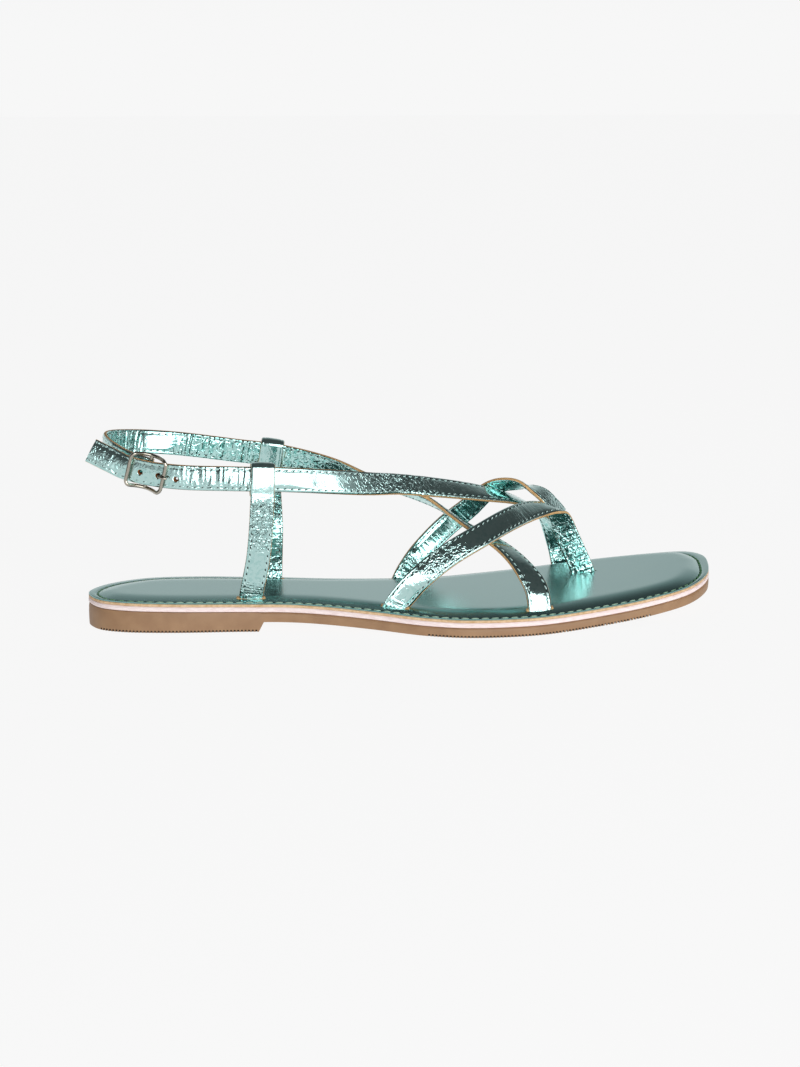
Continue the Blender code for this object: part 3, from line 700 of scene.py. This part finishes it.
def route_frames(rows, step):
    """Middle, side, out and distance along a strap: the face follows its rows, the foot stays level."""
    fine = smooth_curve(rows, False, 24)
    reach = np.concatenate(([0.0], np.cumsum(np.linalg.norm(np.diff(fine[:, :3], axis=0), axis=1))))
    marks = np.linspace(0, reach[-1], max(2, int(round(reach[-1] / step)) + 1))
    even_rows = np.column_stack([np.interp(marks, reach, fine[:, c]) for c in range(6)])
    slope = np.gradient(fine[:, :3], reach, axis=0)
    ahead = np.column_stack([np.interp(marks, reach, slope[:, c]) for c in range(3)])
    ahead /= np.linalg.norm(ahead, axis=1)[:, None]
    level = ease(marks / FOOT_LEVEL)[:, None]
    ahead = np.array((0.0, 0.0, 1.0)) * (1 - level) + ahead * level
    ahead /= np.linalg.norm(ahead, axis=1)[:, None]
    out = even_rows[:, 3:] - ahead * np.sum(even_rows[:, 3:] * ahead, axis=1)[:, None]
    out /= np.linalg.norm(out, axis=1)[:, None]
    return even_rows[:, :3], np.cross(out, ahead), out, marks


def edge_foot(x, outer, lean=0.0):
    """Two rows that lead a strap up out of its slot beside the sole edge, leaning forward."""
    ahead = 2.0
    side = 0 if outer else 1
    here = np.array((x, edge_at(x)[side]))
    run = np.array((2 * ahead, edge_at(x + ahead)[side] - edge_at(x - ahead)[side]))
    run /= np.linalg.norm(run)
    inward = np.array((-run[1], run[0])) if outer else np.array((run[1], -run[0]))
    spot = here + inward * SLOT_INSET
    looks = (-inward[0], -inward[1], 0.0)
    return [(*spot, rim_top(x) - 1.1, *looks), (*(spot + run * lean), rim_top(x) + 1.2, *looks)]


def strap_side(half, deep, crown, bevel):
    """Half a section from the middle of the face to the middle of the lining, margin bevelled by a share."""
    return (
        (half * 0.18, deep + crown, 0),
        (half * 0.36, deep + crown * 0.85, 0),
        (half * 0.5, deep + crown * 0.6, 0),
        (half - STITCH_INSET - 0.45, deep + crown * 0.2, 0),
        (half - STITCH_INSET, deep - 0.14, 0),
        (half - STITCH_INSET + 0.35, deep - 0.04, 0),
        (half - 0.62, deep - 0.04 - 0.11 * bevel, 0),
        (half - 0.36, deep - 0.07 - 0.23 * bevel, 0),
        (half - 0.16, deep - 0.17 - 0.3 * bevel, 0),
        (half - 0.04, deep - 0.34 - 0.32 * bevel, 1),
        (half, deep - 0.46 - 0.32 * bevel, 1),
        (half, -deep + 0.36, 1),
        (half - 0.08, -deep + 0.22, 2),
        (half - 0.35, -deep + 0.05, 2),
        (half - STITCH_INSET + 0.4, -deep, 2),
        (half - STITCH_INSET, -deep + 0.12, 2),
        (half - STITCH_INSET - 0.4, -deep, 2),
        (half * 0.4, -deep, 2),
        (half * 0.15, -deep, 2),
    )


def strap_profile(width, thick, crown, bevels=(0.6, 0.6)):
    """Closed section: across, height and look (0 foil, 1 raw edge, 2 lining) round one strap."""
    right, left = (strap_side(width / 2, thick / 2, crown, bevel) for bevel in bevels)
    looks = [row[2] for row in right]
    rows = [(v, w) for v, w, _ in right] + [(-v, w) for v, w, _ in left[::-1]]
    return rows, looks + [2] + looks[-2::-1] + [0]


def make_strap(name, route, profile, crackle, creases, looks, shift, roll=NO_ROWS, hollow=NO_ROWS):
    """Strap swept along its route, with a length map in centimetres, its crackle and roll as attributes."""
    section, section_looks = profile
    middle, side, out, marks = route
    count = len(section)
    corners = []
    places = []
    seam = max(v for v, _ in section) - STITCH_INSET
    dips = np.interp(marks, *np.transpose(hollow))
    for point, across, up, mark, dip in zip(middle, side, out, marks, dips):
        for v, w in section:
            sunk = dip * max(0.0, 1 - (v / seam) ** 2)
            sunk += sum(depth * math.exp(-((mark - at - lean * v) / half) ** 2)
                        for at, lean, half, depth in creases)
            corners.append(point + across * v + up * (w - sunk))
            places.append((mark / 10 + shift, v / 10))
    faces = []
    for i in range(len(middle) - 1):
        faces += band(i * count, (i + 1) * count, count)
    faces.append(tuple(range(count))[::-1])
    faces.append(tuple(range((len(middle) - 1) * count, len(middle) * count)))
    face_looks = section_looks[:count] * (len(middle) - 1) + [1, 1]
    made = make_piece(name, corners, faces, looks, face_looks, 60)
    mesh = made.data
    table = np.array(crackle, float)
    for key, column in (("wrinkle", 1), ("grain", 2)):
        field = mesh.attributes.new(key, "FLOAT", "POINT")
        field.data.foreach_set("value", np.repeat(np.interp(marks, table[:, 0], table[:, column]), count))
    turned = np.interp(marks, *np.transpose(roll))
    field = mesh.attributes.new("roll", "FLOAT", "POINT")
    field.data.foreach_set("value", np.outer(turned, [v for v, _ in section]).ravel())
    cover = mesh.uv_layers.new(name="strap")
    corner_of = np.empty(len(mesh.loops), int)
    mesh.loops.foreach_get("vertex_index", corner_of)
    cover.data.foreach_set("uv", np.array(places)[corner_of].ravel())
    return made


def foil_leather(name, dark, pale, wrinkle_size, grain_size, depth, gloss):
    """Metal foil on leather, flat between fine creases; sizes in millimetres, gloss a roughness pair."""
    made, tree, shader = new_material(name, metallic=1.0, ior=1.5)
    place = add_node(tree, "ShaderNodeUVMap", uv_map="strap").outputs["UV"]
    layers = []
    # columns: attribute, size, warp of the noise, width of a crease as a share of the noise, detail
    for title, (along, across), warp, width, detail in (("wrinkle", wrinkle_size, 0.25, 0.2, 0.6),
                                                        ("grain", (grain_size, grain_size), 0.6, 0.15, 1.2)):
        amount = add_node(tree, "ShaderNodeAttribute", attribute_name=title).outputs["Fac"]
        drawn = add_node(tree, "ShaderNodeMapping", {"Scale": (10 / along, 10 / across, 1.0)},
                         {"Vector": place})
        noise = add_node(tree, "ShaderNodeTexNoise",
                         {"Scale": 1.0, "Detail": detail, "Roughness": 0.45, "Distortion": warp},
                         {"Vector": drawn})
        centred = add_node(tree, "ShaderNodeMath", {1: 0.5}, {0: noise}, operation="SUBTRACT")
        apart = add_node(tree, "ShaderNodeMath", None, {0: centred}, operation="ABSOLUTE")
        crease = add_node(tree, "ShaderNodeMapRange", {"From Max": width, "To Min": 1.0, "To Max": 0.0},
                          {"Value": apart}, interpolation_type="SMOOTHSTEP")
        sunk = add_node(tree, "ShaderNodeMath", None, {0: crease, 1: amount}, operation="MULTIPLY")
        layers.append((noise, amount, sunk.outputs[0]))
    folded = add_node(tree, "ShaderNodeMath", None, {0: layers[0][2], 1: layers[1][2]}, operation="ADD")
    rolled = add_node(tree, "ShaderNodeAttribute", attribute_name="roll").outputs["Fac"]
    height = add_node(tree, "ShaderNodeMath", {1: 1 / depth}, {0: rolled, 2: folded},
                      operation="MULTIPLY_ADD")
    relief = add_node(tree, "ShaderNodeBump", {"Strength": 1.0, "Distance": depth * MM},
                      {"Height": height}, invert=True)
    tree.links.new(relief.outputs["Normal"], shader.inputs["Normal"])
    tone = add_node(tree, "ShaderNodeValToRGB", None, {"Fac": layers[1][0].outputs["Fac"]})
    tone.color_ramp.elements[0].position = 0.36
    tone.color_ramp.elements[0].color = linear(dark)
    tone.color_ramp.elements[1].position = 0.5
    tone.color_ramp.elements[1].color = linear(pale)
    tree.links.new(tone.outputs["Color"], shader.inputs["Base Color"])
    rough = add_node(tree, "ShaderNodeMapRange", {"To Min": gloss[0], "To Max": gloss[1]},
                     {"Value": layers[1][1]})
    tree.links.new(rough.outputs["Result"], shader.inputs["Roughness"])
    return made


# Outer foil is a near mirror with folds about 2.6 mm apart; the lining is greener and crumpled deeper
outer_foil = foil_leather("teal crackled foil leather", "#a6cbc8", "#b4d4d1", (2.6, 16.0), 1.7, 0.2,
                          (0.10, 0.14))
lining_foil = foil_leather("teal crumpled foil lining", "#8cc8c2", "#b9e2de", (2.4, 14.0), 2.0, 0.25,
                           (0.11, 0.15))
# The strap edges are raw tan leather, a little yellower than the board
strap_edge = raw_leather("raw tan strap edge", "#bd9460", "#d6b07c")
strap_looks = [outer_foil, strap_edge, lining_foil]

routes = {}
straps = {}
# Two straps have their lower margin rolled more than the upper one
BEVELS = {"outer_front": (0.1, 1.0), "inner_front": (0.6, 0.6), "outer_toe": (0.6, 0.6),
          "inner_toe": (1.0, 0.1)}
for number, (key, rows) in enumerate((("outer_front", OUTER_FRONT), ("inner_front", INNER_FRONT),
                                      ("outer_toe", OUTER_TOE), ("inner_toe", INNER_TOE))):
    foot = edge_foot(SLOTS[key], key.startswith("outer"), FRONT_LEAN if key.endswith("front") else 0.0)
    routes[key] = route_frames(foot + list(rows), STRAP_STEP)
    profile = strap_profile(STRAP_WIDTH, STRAP_THICK, STRAP_CROWN, BEVELS[key])
    straps[key] = make_strap(key + "_strap", routes[key], profile, CRACKLE[key], CREASES[key], strap_looks,
                             40.0 * number, ROLL.get(key, NO_ROWS), HOLLOWS.get(key, NO_ROWS))

# Buckle holes: three round holes punched through the strap that passes the buckle, with raw
# brown walls painted darker as shade. The prong stands in the middle one.
HOLE_RADIUS = 1.05
HOLE_TAPER = 0.3
HOLE_SIDES = 20
PUNCH_LOW = -2.0
PUNCH_HIGH = 2.4
HOLE_PITCH = 7.2
BUCKLE_ALONG = 24.5
HOLE_FROM_BAR = 4.6
ANKLE_HEIGHT = 40.0


def frame_near(route, x):
    """Middle, run, side and out of a strap where its raised part passes the station x."""
    middle, side, out, _ = route
    i = int(np.argmin(abs(middle[:, 0] - x) + (middle[:, 2] < ANKLE_HEIGHT) * 2 * LENGTH))
    return middle[i], np.cross(side[i], out[i]), side[i], out[i]


def round_section(radius, sides):
    turn = np.linspace(0, 2 * math.pi, sides, endpoint=False)
    return [(radius * math.cos(a), radius * math.sin(a)) for a in turn]


def make_rod(name, points, radii, sides, look, closed=False, helper=(0.12, 0.31, 0.94)):
    """Round wire through points with a radius at each, with end caps unless it is closed."""
    points = np.asarray(points, float)
    count = len(points)
    corners = []
    for i, (point, radius) in enumerate(zip(points, radii)):
        before = points[(i - 1) % count] if closed else points[max(i - 1, 0)]
        after = points[(i + 1) % count] if closed else points[min(i + 1, count - 1)]
        ahead = (after - before) / np.linalg.norm(after - before)
        a = np.cross(helper, ahead)
        a /= np.linalg.norm(a)
        b = np.cross(ahead, a)
        corners += [point + a * u + b * v for u, v in round_section(radius, sides)]
    faces = []
    for i in range(count if closed else count - 1):
        faces += band(i * sides, (i + 1) % count * sides, sides)
    if not closed:
        faces.append(tuple(range(sides))[::-1])
        faces.append(tuple(range((count - 1) * sides, count * sides)))
    return make_piece(name, corners, faces, [look], None, 70)


# The punched walls are brown leather, painted darker than the cut edges as the shade inside the holes
shaded_hole_wall = raw_leather("punched leather wall with painted shade", "#6b3f22", "#9a6438")
bar_point, bar_run, bar_side, bar_out = frame_near(routes["inner_toe"], BUCKLE_ALONG)
if bar_run[0] < 0:
    bar_run = -bar_run
punched = straps["inner_toe"]
face_height = STRAP_THICK / 2 + STRAP_CROWN
punch_radii = [HOLE_RADIUS + HOLE_TAPER * (height - face_height) for height in (PUNCH_LOW, PUNCH_HIGH)]
for k in range(3):
    middle = bar_point + bar_run * (HOLE_FROM_BAR + (k - 1) * HOLE_PITCH)
    punch = make_rod("punch_%d" % k, [middle + bar_out * PUNCH_LOW, middle + bar_out * PUNCH_HIGH],
                     punch_radii, HOLE_SIDES, shaded_hole_wall)
    carve(punched, punch)
for made in straps.values():
    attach(made, "root")
    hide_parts("upper_straps")

# Ankle stays: a narrower strap of the same foil leather on each side rises from its slot, folds
# over the ankle strap and is stitched to itself just below it.
STAY_WIDTH = 9.4
STAY_THICK = 1.4
STAY_CROWN = 0.12
STAY_STEP = 0.7
STAY_DROP = 2.0
STAY_SLOTS = {"outer": 64.0, "inner": 73.8}
STAY_MIDDLES = {"outer": (67.2, -26.6, 31.0, 0.0, -1.0, 0.0), "inner": (74.4, 23.4, 31.0, 0.0, 1.0, 0.0)}
STAY_LOOPS = {"outer": ("inner_toe", 68.9), "inner": ("outer_toe", 74.8)}
# columns: out from the ankle strap middle and up, both as shares of the loop, look out, look up
FOLD = (
    (1.0, -0.95, 1.0, -0.5),
    (1.0, -0.35, 1.0, -0.35),
    (1.0, 0.35, 1.0, 0.0),
    (0.98, 0.78, 0.96, 0.28),
    (0.72, 0.97, 0.6, 0.8),
    (0.2, 1.02, 0.1, 1.0),
    (-0.4, 1.0, -0.3, 0.95),
    (-0.9, 0.84, -0.85, 0.5),
    (-1.0, 0.4, -1.0, 0.0),
    (-1.0, -0.3, -1.0, 0.0),
    (-0.95, -0.8, -0.95, -0.3),
    (-0.6, -1.04, -0.5, -0.85),
    (-0.1, -1.12, -0.2, -1.0),
)
# columns of both as for the straps
STAY_CRACKLE = ((0, 1.2, 0.6), (8, 1.1, 0.5), (12, 0.15, 0.06), (22, 0.15, 0.08), (27, 0.8, 1.3),
                (44, 0.9, 1.9), (46, 0.04, 0.03), (60, 0.02, 0.03), (80, 0.2, 0.2))
STAY_CREASES = ((30, 0.2, 1.0, 0.1), (36, -0.2, 0.9, 0.12), (41, 0.1, 0.9, 0.12), (44.5, 0.0, 5.0, 0.45))
stay_routes = {}
stays = {}
stay_profile = strap_profile(STAY_WIDTH, STAY_THICK, STAY_CROWN)
for number, side_name in enumerate(("outer", "inner")):
    key, along = STAY_LOOPS[side_name]
    point, run, across, out = frame_near(routes[key], along)
    up = across if across[2] > 0 else -across
    wall_out = STRAP_THICK / 2 + STRAP_CROWN / 2 + GAP + STAY_THICK / 2
    wall_up = STRAP_WIDTH / 2 + GAP + STAY_THICK / 2
    heart = point + out * STRAP_CROWN / 2
    leg = edge_foot(STAY_SLOTS[side_name], side_name == "outer") + [STAY_MIDDLES[side_name]]
    low = heart + out * wall_out - up * (wall_up + STAY_DROP)
    leg.append((*low, *out))
    for a, b, look_a, look_b in FOLD:
        leg.append((*(heart + out * wall_out * a + up * wall_up * b), *(out * look_a + up * look_b)))
    stay_routes[side_name] = route_frames(leg, STAY_STEP)
    stays[side_name] = make_strap(side_name + "_ankle_stay", stay_routes[side_name], stay_profile,
                                  STAY_CRACKLE, STAY_CREASES, strap_looks, 200.0 + 40.0 * number)
    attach(stays[side_name], "root")
    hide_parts(side_name + "_stay")

# Strap seams: a row of teal thread 1.25 mm in from both margins on the face and on the lining,
# pulled into the foil, with a needle hole painted as a small dark dot of shade between stitches.
STITCH_PITCH = 2.9
STITCH_LENGTH = 1.9
STITCH_THREAD = 0.5
STITCH_HEIGHT = 0.34
STITCH_SINK = 0.08
STITCH_SLANT = 0.25
NEEDLE_HOLE = (1.2, 0.6, 0.34)
SEAM_START = 5.0
STAY_SEAM_END = 34.0
STAY_CROSS_ROWS = (26.0, 43.0)
CROSS_POINTS = 8

# Fine polyester thread, pale teal and dull beside the foil
strap_thread = mottled("teal thread", 3.0, ((0.35, "#a9cfca"), (0.65, "#cfe8e4")), roughness=0.5, ior=1.5)

# Needle holes and the toe post slot: near-black painted shade, put where the holes lie in shade
painted_hole_shade = mottled("painted hole shade", 2.0, ((0.0, "#0f1a19"), (1.0, "#23312f")), roughness=0.9, ior=1.4)

for title, lead, size, look in (
    ("strap_stitches", 0.0, (STITCH_LENGTH, STITCH_THREAD, STITCH_HEIGHT), strap_thread),
    ("strap_needle_hole_shade", STITCH_PITCH / 2, NEEDLE_HOLE, painted_hole_shade),
):
    points = []
    outs = []
    runs = []
    for (middle, side, out, marks), width, thick, ended in (
        *((route, STRAP_WIDTH, STRAP_THICK, 0.0) for route in routes.values()),
        *((route, STAY_WIDTH, STAY_THICK, STAY_SEAM_END) for route in stay_routes.values()),
    ):
        kept = (marks > SEAM_START + lead) & (marks < marks[-1] - ended - 1.0)
        for face in (1, -1):
            for hand in (1, -1):
                first = len(points)
                line = middle[kept] + side[kept] * hand * (width / 2 - STITCH_INSET)
                line = line + out[kept] * face * (thick / 2 - STITCH_SINK)
                points.extend(line)
                outs.extend(out[kept] * face)
                runs.append((first, len(points) - 1))
    for middle, side, out, marks in stay_routes.values():
        for row in STAY_CROSS_ROWS:
            i = int(np.argmin(abs(marks - row)))
            first = len(points)
            reach = STAY_WIDTH / 2 - STITCH_INSET
            points.extend(middle[i] + side[i] * v + out[i] * (STAY_THICK / 2 - STITCH_SINK)
                          for v in np.linspace(-reach + lead / 2, reach, CROSS_POINTS))
            outs.extend([out[i]] * CROSS_POINTS)
            runs.append((first, len(points) - 1))
    sizes = {"Pitch": STITCH_PITCH * MM, "Length": size[0] * MM, "Thread": size[1] * MM,
             "Height": size[2] * MM, "Slant": STITCH_SLANT}
    made = node_piece(title, points, runs, {"out": ("FLOAT_VECTOR", outs)}, build_stitches, sizes, look)
    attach(made, "root")

# Slot edges: the insole is cut through for every strap; the raw leather of the cut stands up as a
# small tan lip at both ends of each slot. The toe post's slot is a flat near-black patch of painted shade.
LIP_LENGTH = 11.8
LIP_WIDTH = 1.7
LIP_RISE = 0.8
LIP_SIDES = 28
cover = BVHTree.FromPolygons([v.co for v in insole.data.vertices], [p.vertices for p in insole.data.polygons])


def on_cover(spot):
    """Height in millimetres of the insole surface above or below a place of the tables."""
    above = (np.array((spot[0], spot[1], 60.0)) - CENTRE) * MM
    return cover.ray_cast(above, (0.0, 0.0, -1.0))[0][2] / MM


slot_ends = [(route, False) for route in (*routes.values(), *stay_routes.values())]
slot_ends.append((routes["outer_front"], True))
corners = []
faces = []
face_looks = []
for (middle, side, out, _), post in slot_ends:
    order = range(len(middle))[::-1] if post else range(len(middle))
    i = next(k for k in order if middle[k][2] > on_cover(middle[k]))
    along = np.array((*side[i][:2], 0.0)) / np.linalg.norm(side[i][:2])
    across = np.array((-along[1], along[0], 0.0))
    first = len(corners)
    for share, lift in ((1.0, -0.2), (0.92, 1.0), (0.7, 0.2)):
        for turn in np.linspace(0, 2 * math.pi, LIP_SIDES, endpoint=False):
            a, b = (math.copysign(abs(f) ** 0.6, f) for f in (math.cos(turn), math.sin(turn)))
            spot = middle[i] + along * a * share * LIP_LENGTH / 2 + across * b * share * LIP_WIDTH / 2
            rise = 0.06 if post else 0.1 + LIP_RISE * abs(a) ** 6
            corners.append((spot[0], spot[1], on_cover(spot) + lift * rise))
    for low in (first, first + LIP_SIDES):
        faces += band(low, low + LIP_SIDES, LIP_SIDES)
    faces.append(tuple(range(first + 2 * LIP_SIDES, first + 3 * LIP_SIDES)))
    face_looks += [1 if post else 0] * (2 * LIP_SIDES + 1)
lips = make_piece("slot_edges", corners, faces, [strap_edge, painted_hole_shade], face_looks)
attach(lips, "root")

# Buckle: a bowed rectangle of polished nickel wire with a bar across its middle, under the strap,
# and a prong bent from finer wire that comes up through a hole and rests on the front bar.
WIRE_RADIUS = 0.75
WIRE_STEP = 0.7
WIRE_SIDES = 14
PRONG_RADIUS = 0.55
PRONG_SIDES = 12
BUCKLE_HALF_LENGTH = 7.1
BUCKLE_CORNER = 2.2
BUCKLE_PLAY = 1.0
BUCKLE_TURN = 5.0
BUCKLE_RISE = 0.3
BUCKLE_BOW = 0.25
# columns: along the strap from the middle bar, height above the strap middle, share of the wire
PRONG = (
    (1.9, -2.05, 1.0),
    (3.6, -1.95, 1.0),
    (4.4, -1.25, 1.0),
    (4.6, 0.0, 1.0),
    (4.8, 1.25, 1.0),
    (5.6, 2.9, 1.05),
    (7.2, 4.1, 1.0),
    (8.6, 3.9, 0.85),
    (8.9, 3.82, 0.5),
)

# Polished nickel plate: a warm mirror with faint polishing haze about 3 mm wide
nickel = mottled("polished nickel", 3.0, detail=3.0, gloss=(0.08, 0.2), base_color=linear("#a8a397"),
                 metallic=1.0)

rail = STRAP_WIDTH / 2 + BUCKLE_PLAY + WIRE_RADIUS
turn = math.radians(BUCKLE_TURN if bar_side[2] > 0 else -BUCKLE_TURN)
wire_run = bar_run * math.cos(turn) - bar_side * math.sin(turn)
wire_side = bar_side * math.cos(turn) + bar_run * math.sin(turn)
wire_middle = bar_point + bar_side * math.copysign(BUCKLE_RISE, bar_side[2])
lift = STRAP_THICK / 2 + STRAP_CROWN + GAP + WIRE_RADIUS
corner_rows = []
for sign_a, sign_b, start in ((1, 1, 0), (-1, 1, 90), (-1, -1, 180), (1, -1, 270)):
    for turn in np.radians(np.linspace(start, start + 90, 9)):
        corner_rows.append((sign_a * (BUCKLE_HALF_LENGTH - BUCKLE_CORNER) + BUCKLE_CORNER * math.cos(turn),
                            sign_b * (rail - BUCKLE_CORNER) + BUCKLE_CORNER * math.sin(turn)))
wire = []
for here, after in zip(corner_rows, corner_rows[1:] + corner_rows[:1]):
    pieces = max(1, round(math.dist(here, after) / WIRE_STEP))
    for k in range(pieces):
        a, b = np.add(here, np.subtract(after, here) * k / pieces)
        bow = (2 * lift + BUCKLE_BOW) * min(1.0, abs(a) / (BUCKLE_HALF_LENGTH - 1.0)) ** 2 - lift
        wire.append(wire_middle + wire_run * a + wire_side * b + bar_out * bow)
buckle = make_rod("nickel_buckle", wire, [WIRE_RADIUS] * len(wire), WIRE_SIDES, nickel, True, bar_out)
bar_ends = [wire_middle - bar_out * lift + wire_side * rail * s for s in np.linspace(-1, 1, 9)]
middle_bar = make_rod("nickel_middle_bar", bar_ends, [WIRE_RADIUS] * len(bar_ends), WIRE_SIDES, nickel)
prong_rows = smooth_curve([(a, b, 0.0, r) for a, b, r in PRONG], False, 6)
prong_path = [bar_point + bar_run * a + bar_out * b for a, b, _, _ in prong_rows]
prong = make_rod("nickel_prong", prong_path, PRONG_RADIUS * prong_rows[:, 3], PRONG_SIDES, nickel, False,
                 bar_side)
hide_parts("buckle_frame")
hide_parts("buckle_prong")
for made in (buckle, middle_bar, prong):
    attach(made, "root")

# Stage: a wide pale floor inside a light tent. The back wall glows and fades upward, the front is
# dark above a low bright box behind the camera, so the foil has bright and dark bands to mirror.
FLOOR_HALF = 6000.0
FLOOR_GLOW = 0.9
BOX_RADIANCE = 3.4
BOX_SIZE = (2.1, 0.77)
BOX_SPOT = (0.8, -1.25, 0.335)
# columns: sine of the height above the floor, glow of the tent wall
BACK_WALL = ((0.0, 0.93), (0.1, 0.9), (0.24, 0.7), (0.5, 0.45), (0.77, 0.3), (0.94, 0.22), (0.985, 0.1),
             (1.0, 0.05))
FRONT_WALL = ((0.0, 0.95), (0.15, 1.2), (0.28, 1.0), (0.38, 0.3), (0.46, 0.03), (0.98, 0.02), (1.0, 0.02))
TENT_SHADE = 0.07
# Bright stretch of the front wall: middle, half width at full glow, half width where it has faded
BRIGHT_ASIDE = 0.2
BRIGHT_HALF = 0.42
DARK_HALF = 0.75
SIDE_GLOW = 0.06
# The back wall lies this way and takes over between two depths
BACKWARD = (-0.35, 1.0, 0.0)
BACK_BEGINS = 0.22
BACK_FULL = 0.65

# Matt acrylic sheet: even and nearly without shade, because it is lit from below as well
pale_acrylic, *_ = new_material("pale lit acrylic sheet", roughness=0.7, base_color=linear("#525252"),
                                emission_color=(1.0, 1.0, 1.0, 1.0), emission_strength=FLOOR_GLOW,
                                specular_ior_level=0.0)
corners = [CENTRE + (x * FLOOR_HALF, y * FLOOR_HALF, 0.0) for x, y in ((-1, -1), (1, -1), (1, 1), (-1, 1))]
floor = make_piece("floor", corners, [(0, 1, 2, 3)], [pale_acrylic])
floor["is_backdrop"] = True

world = bpy.data.worlds.new("light tent")
bpy.context.scene.world = world
world.use_nodes = True
tree = world.node_tree
ray = add_node(tree, "ShaderNodeTexCoord")
parts = add_node(tree, "ShaderNodeSeparateXYZ", None, {"Vector": ray.outputs["Generated"]})
walls = []
for rows in (FRONT_WALL, BACK_WALL):
    glow = add_node(tree, "ShaderNodeValToRGB", None, {"Fac": parts.outputs["Z"]})
    for number, (rise, level) in enumerate(rows):
        stop = glow.color_ramp.elements[number] if number < 2 else glow.color_ramp.elements.new(rise)
        stop.position = rise
        stop.color = (level, level, level, 1.0)
    walls.append(glow.outputs["Color"])
off = add_node(tree, "ShaderNodeMath", {1: BRIGHT_ASIDE}, {0: parts.outputs["X"]}, operation="SUBTRACT")
far = add_node(tree, "ShaderNodeMath", None, {0: off}, operation="ABSOLUTE")
aside = add_node(tree, "ShaderNodeMapRange",
                 {"From Min": BRIGHT_HALF, "From Max": DARK_HALF, "To Min": 1.0, "To Max": SIDE_GLOW},
                 {"Value": far})
front = add_node(tree, "ShaderNodeVectorMath", {2: (TENT_SHADE,) * 3},
                 {0: walls[0], 1: aside}, operation="MULTIPLY_ADD")
depth = add_node(tree, "ShaderNodeVectorMath", {1: BACKWARD}, {0: ray.outputs["Generated"]},
                 operation="DOT_PRODUCT")
behind = add_node(tree, "ShaderNodeMapRange", {"From Min": BACK_BEGINS, "From Max": BACK_FULL},
                  {"Value": depth.outputs["Value"]})
tent = add_node(tree, "ShaderNodeMix", None, {"Factor": behind, 6: front, 7: walls[1]}, data_type="RGBA")
tree.links.new(tent.outputs[2], tree.nodes["Background"].inputs["Color"])
lamp = bpy.data.lights.new("front box", "AREA")
lamp.shape = "RECTANGLE"
lamp.size, lamp.size_y = BOX_SIZE
lamp.energy = BOX_RADIANCE * math.pi * BOX_SIZE[0] * BOX_SIZE[1]
holder = bpy.data.objects.new("front box", lamp)
holder.location = BOX_SPOT
holder.rotation_euler = (math.radians(90.0), 0.0, 0.0)
holder.visible_camera = False
bpy.context.scene.collection.objects.link(holder)

# Camera: the photograph's view, from the outer side, a little towards the heel and 12 degrees up,
# with the focal length that fits the sole outline, the crossings and the buckle in the photo.
VIEW_AZIMUTH = -5.5
VIEW_HEIGHT = 12.0
VIEW_REACH = 0.95
FOCAL_PIXELS = 2346.5
IMAGE_HEIGHT = 1067
SENSOR = 36.0
AIM_POINT = (125.42, 0.0, 33.27)
AIM = (AIM_POINT - CENTRE) * MM
a, e = math.radians(VIEW_AZIMUTH), math.radians(VIEW_HEIGHT)
back = np.array((math.sin(a) * math.cos(e), -math.cos(a) * math.cos(e), math.sin(e)))
lens = bpy.data.cameras.new("photo view")
lens.sensor_width = SENSOR
lens.lens = FOCAL_PIXELS / IMAGE_HEIGHT * SENSOR
lens.clip_start = 0.01
camera = bpy.data.objects.new("photo view", lens)
camera.location = AIM + back * VIEW_REACH
camera.rotation_euler = (math.radians(90 - VIEW_HEIGHT), 0.0, math.radians(VIEW_AZIMUTH))
bpy.context.scene.collection.objects.link(camera)
bpy.context.scene.camera = camera
bpy.context.scene.view_settings.view_transform = "Standard"

low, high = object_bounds()
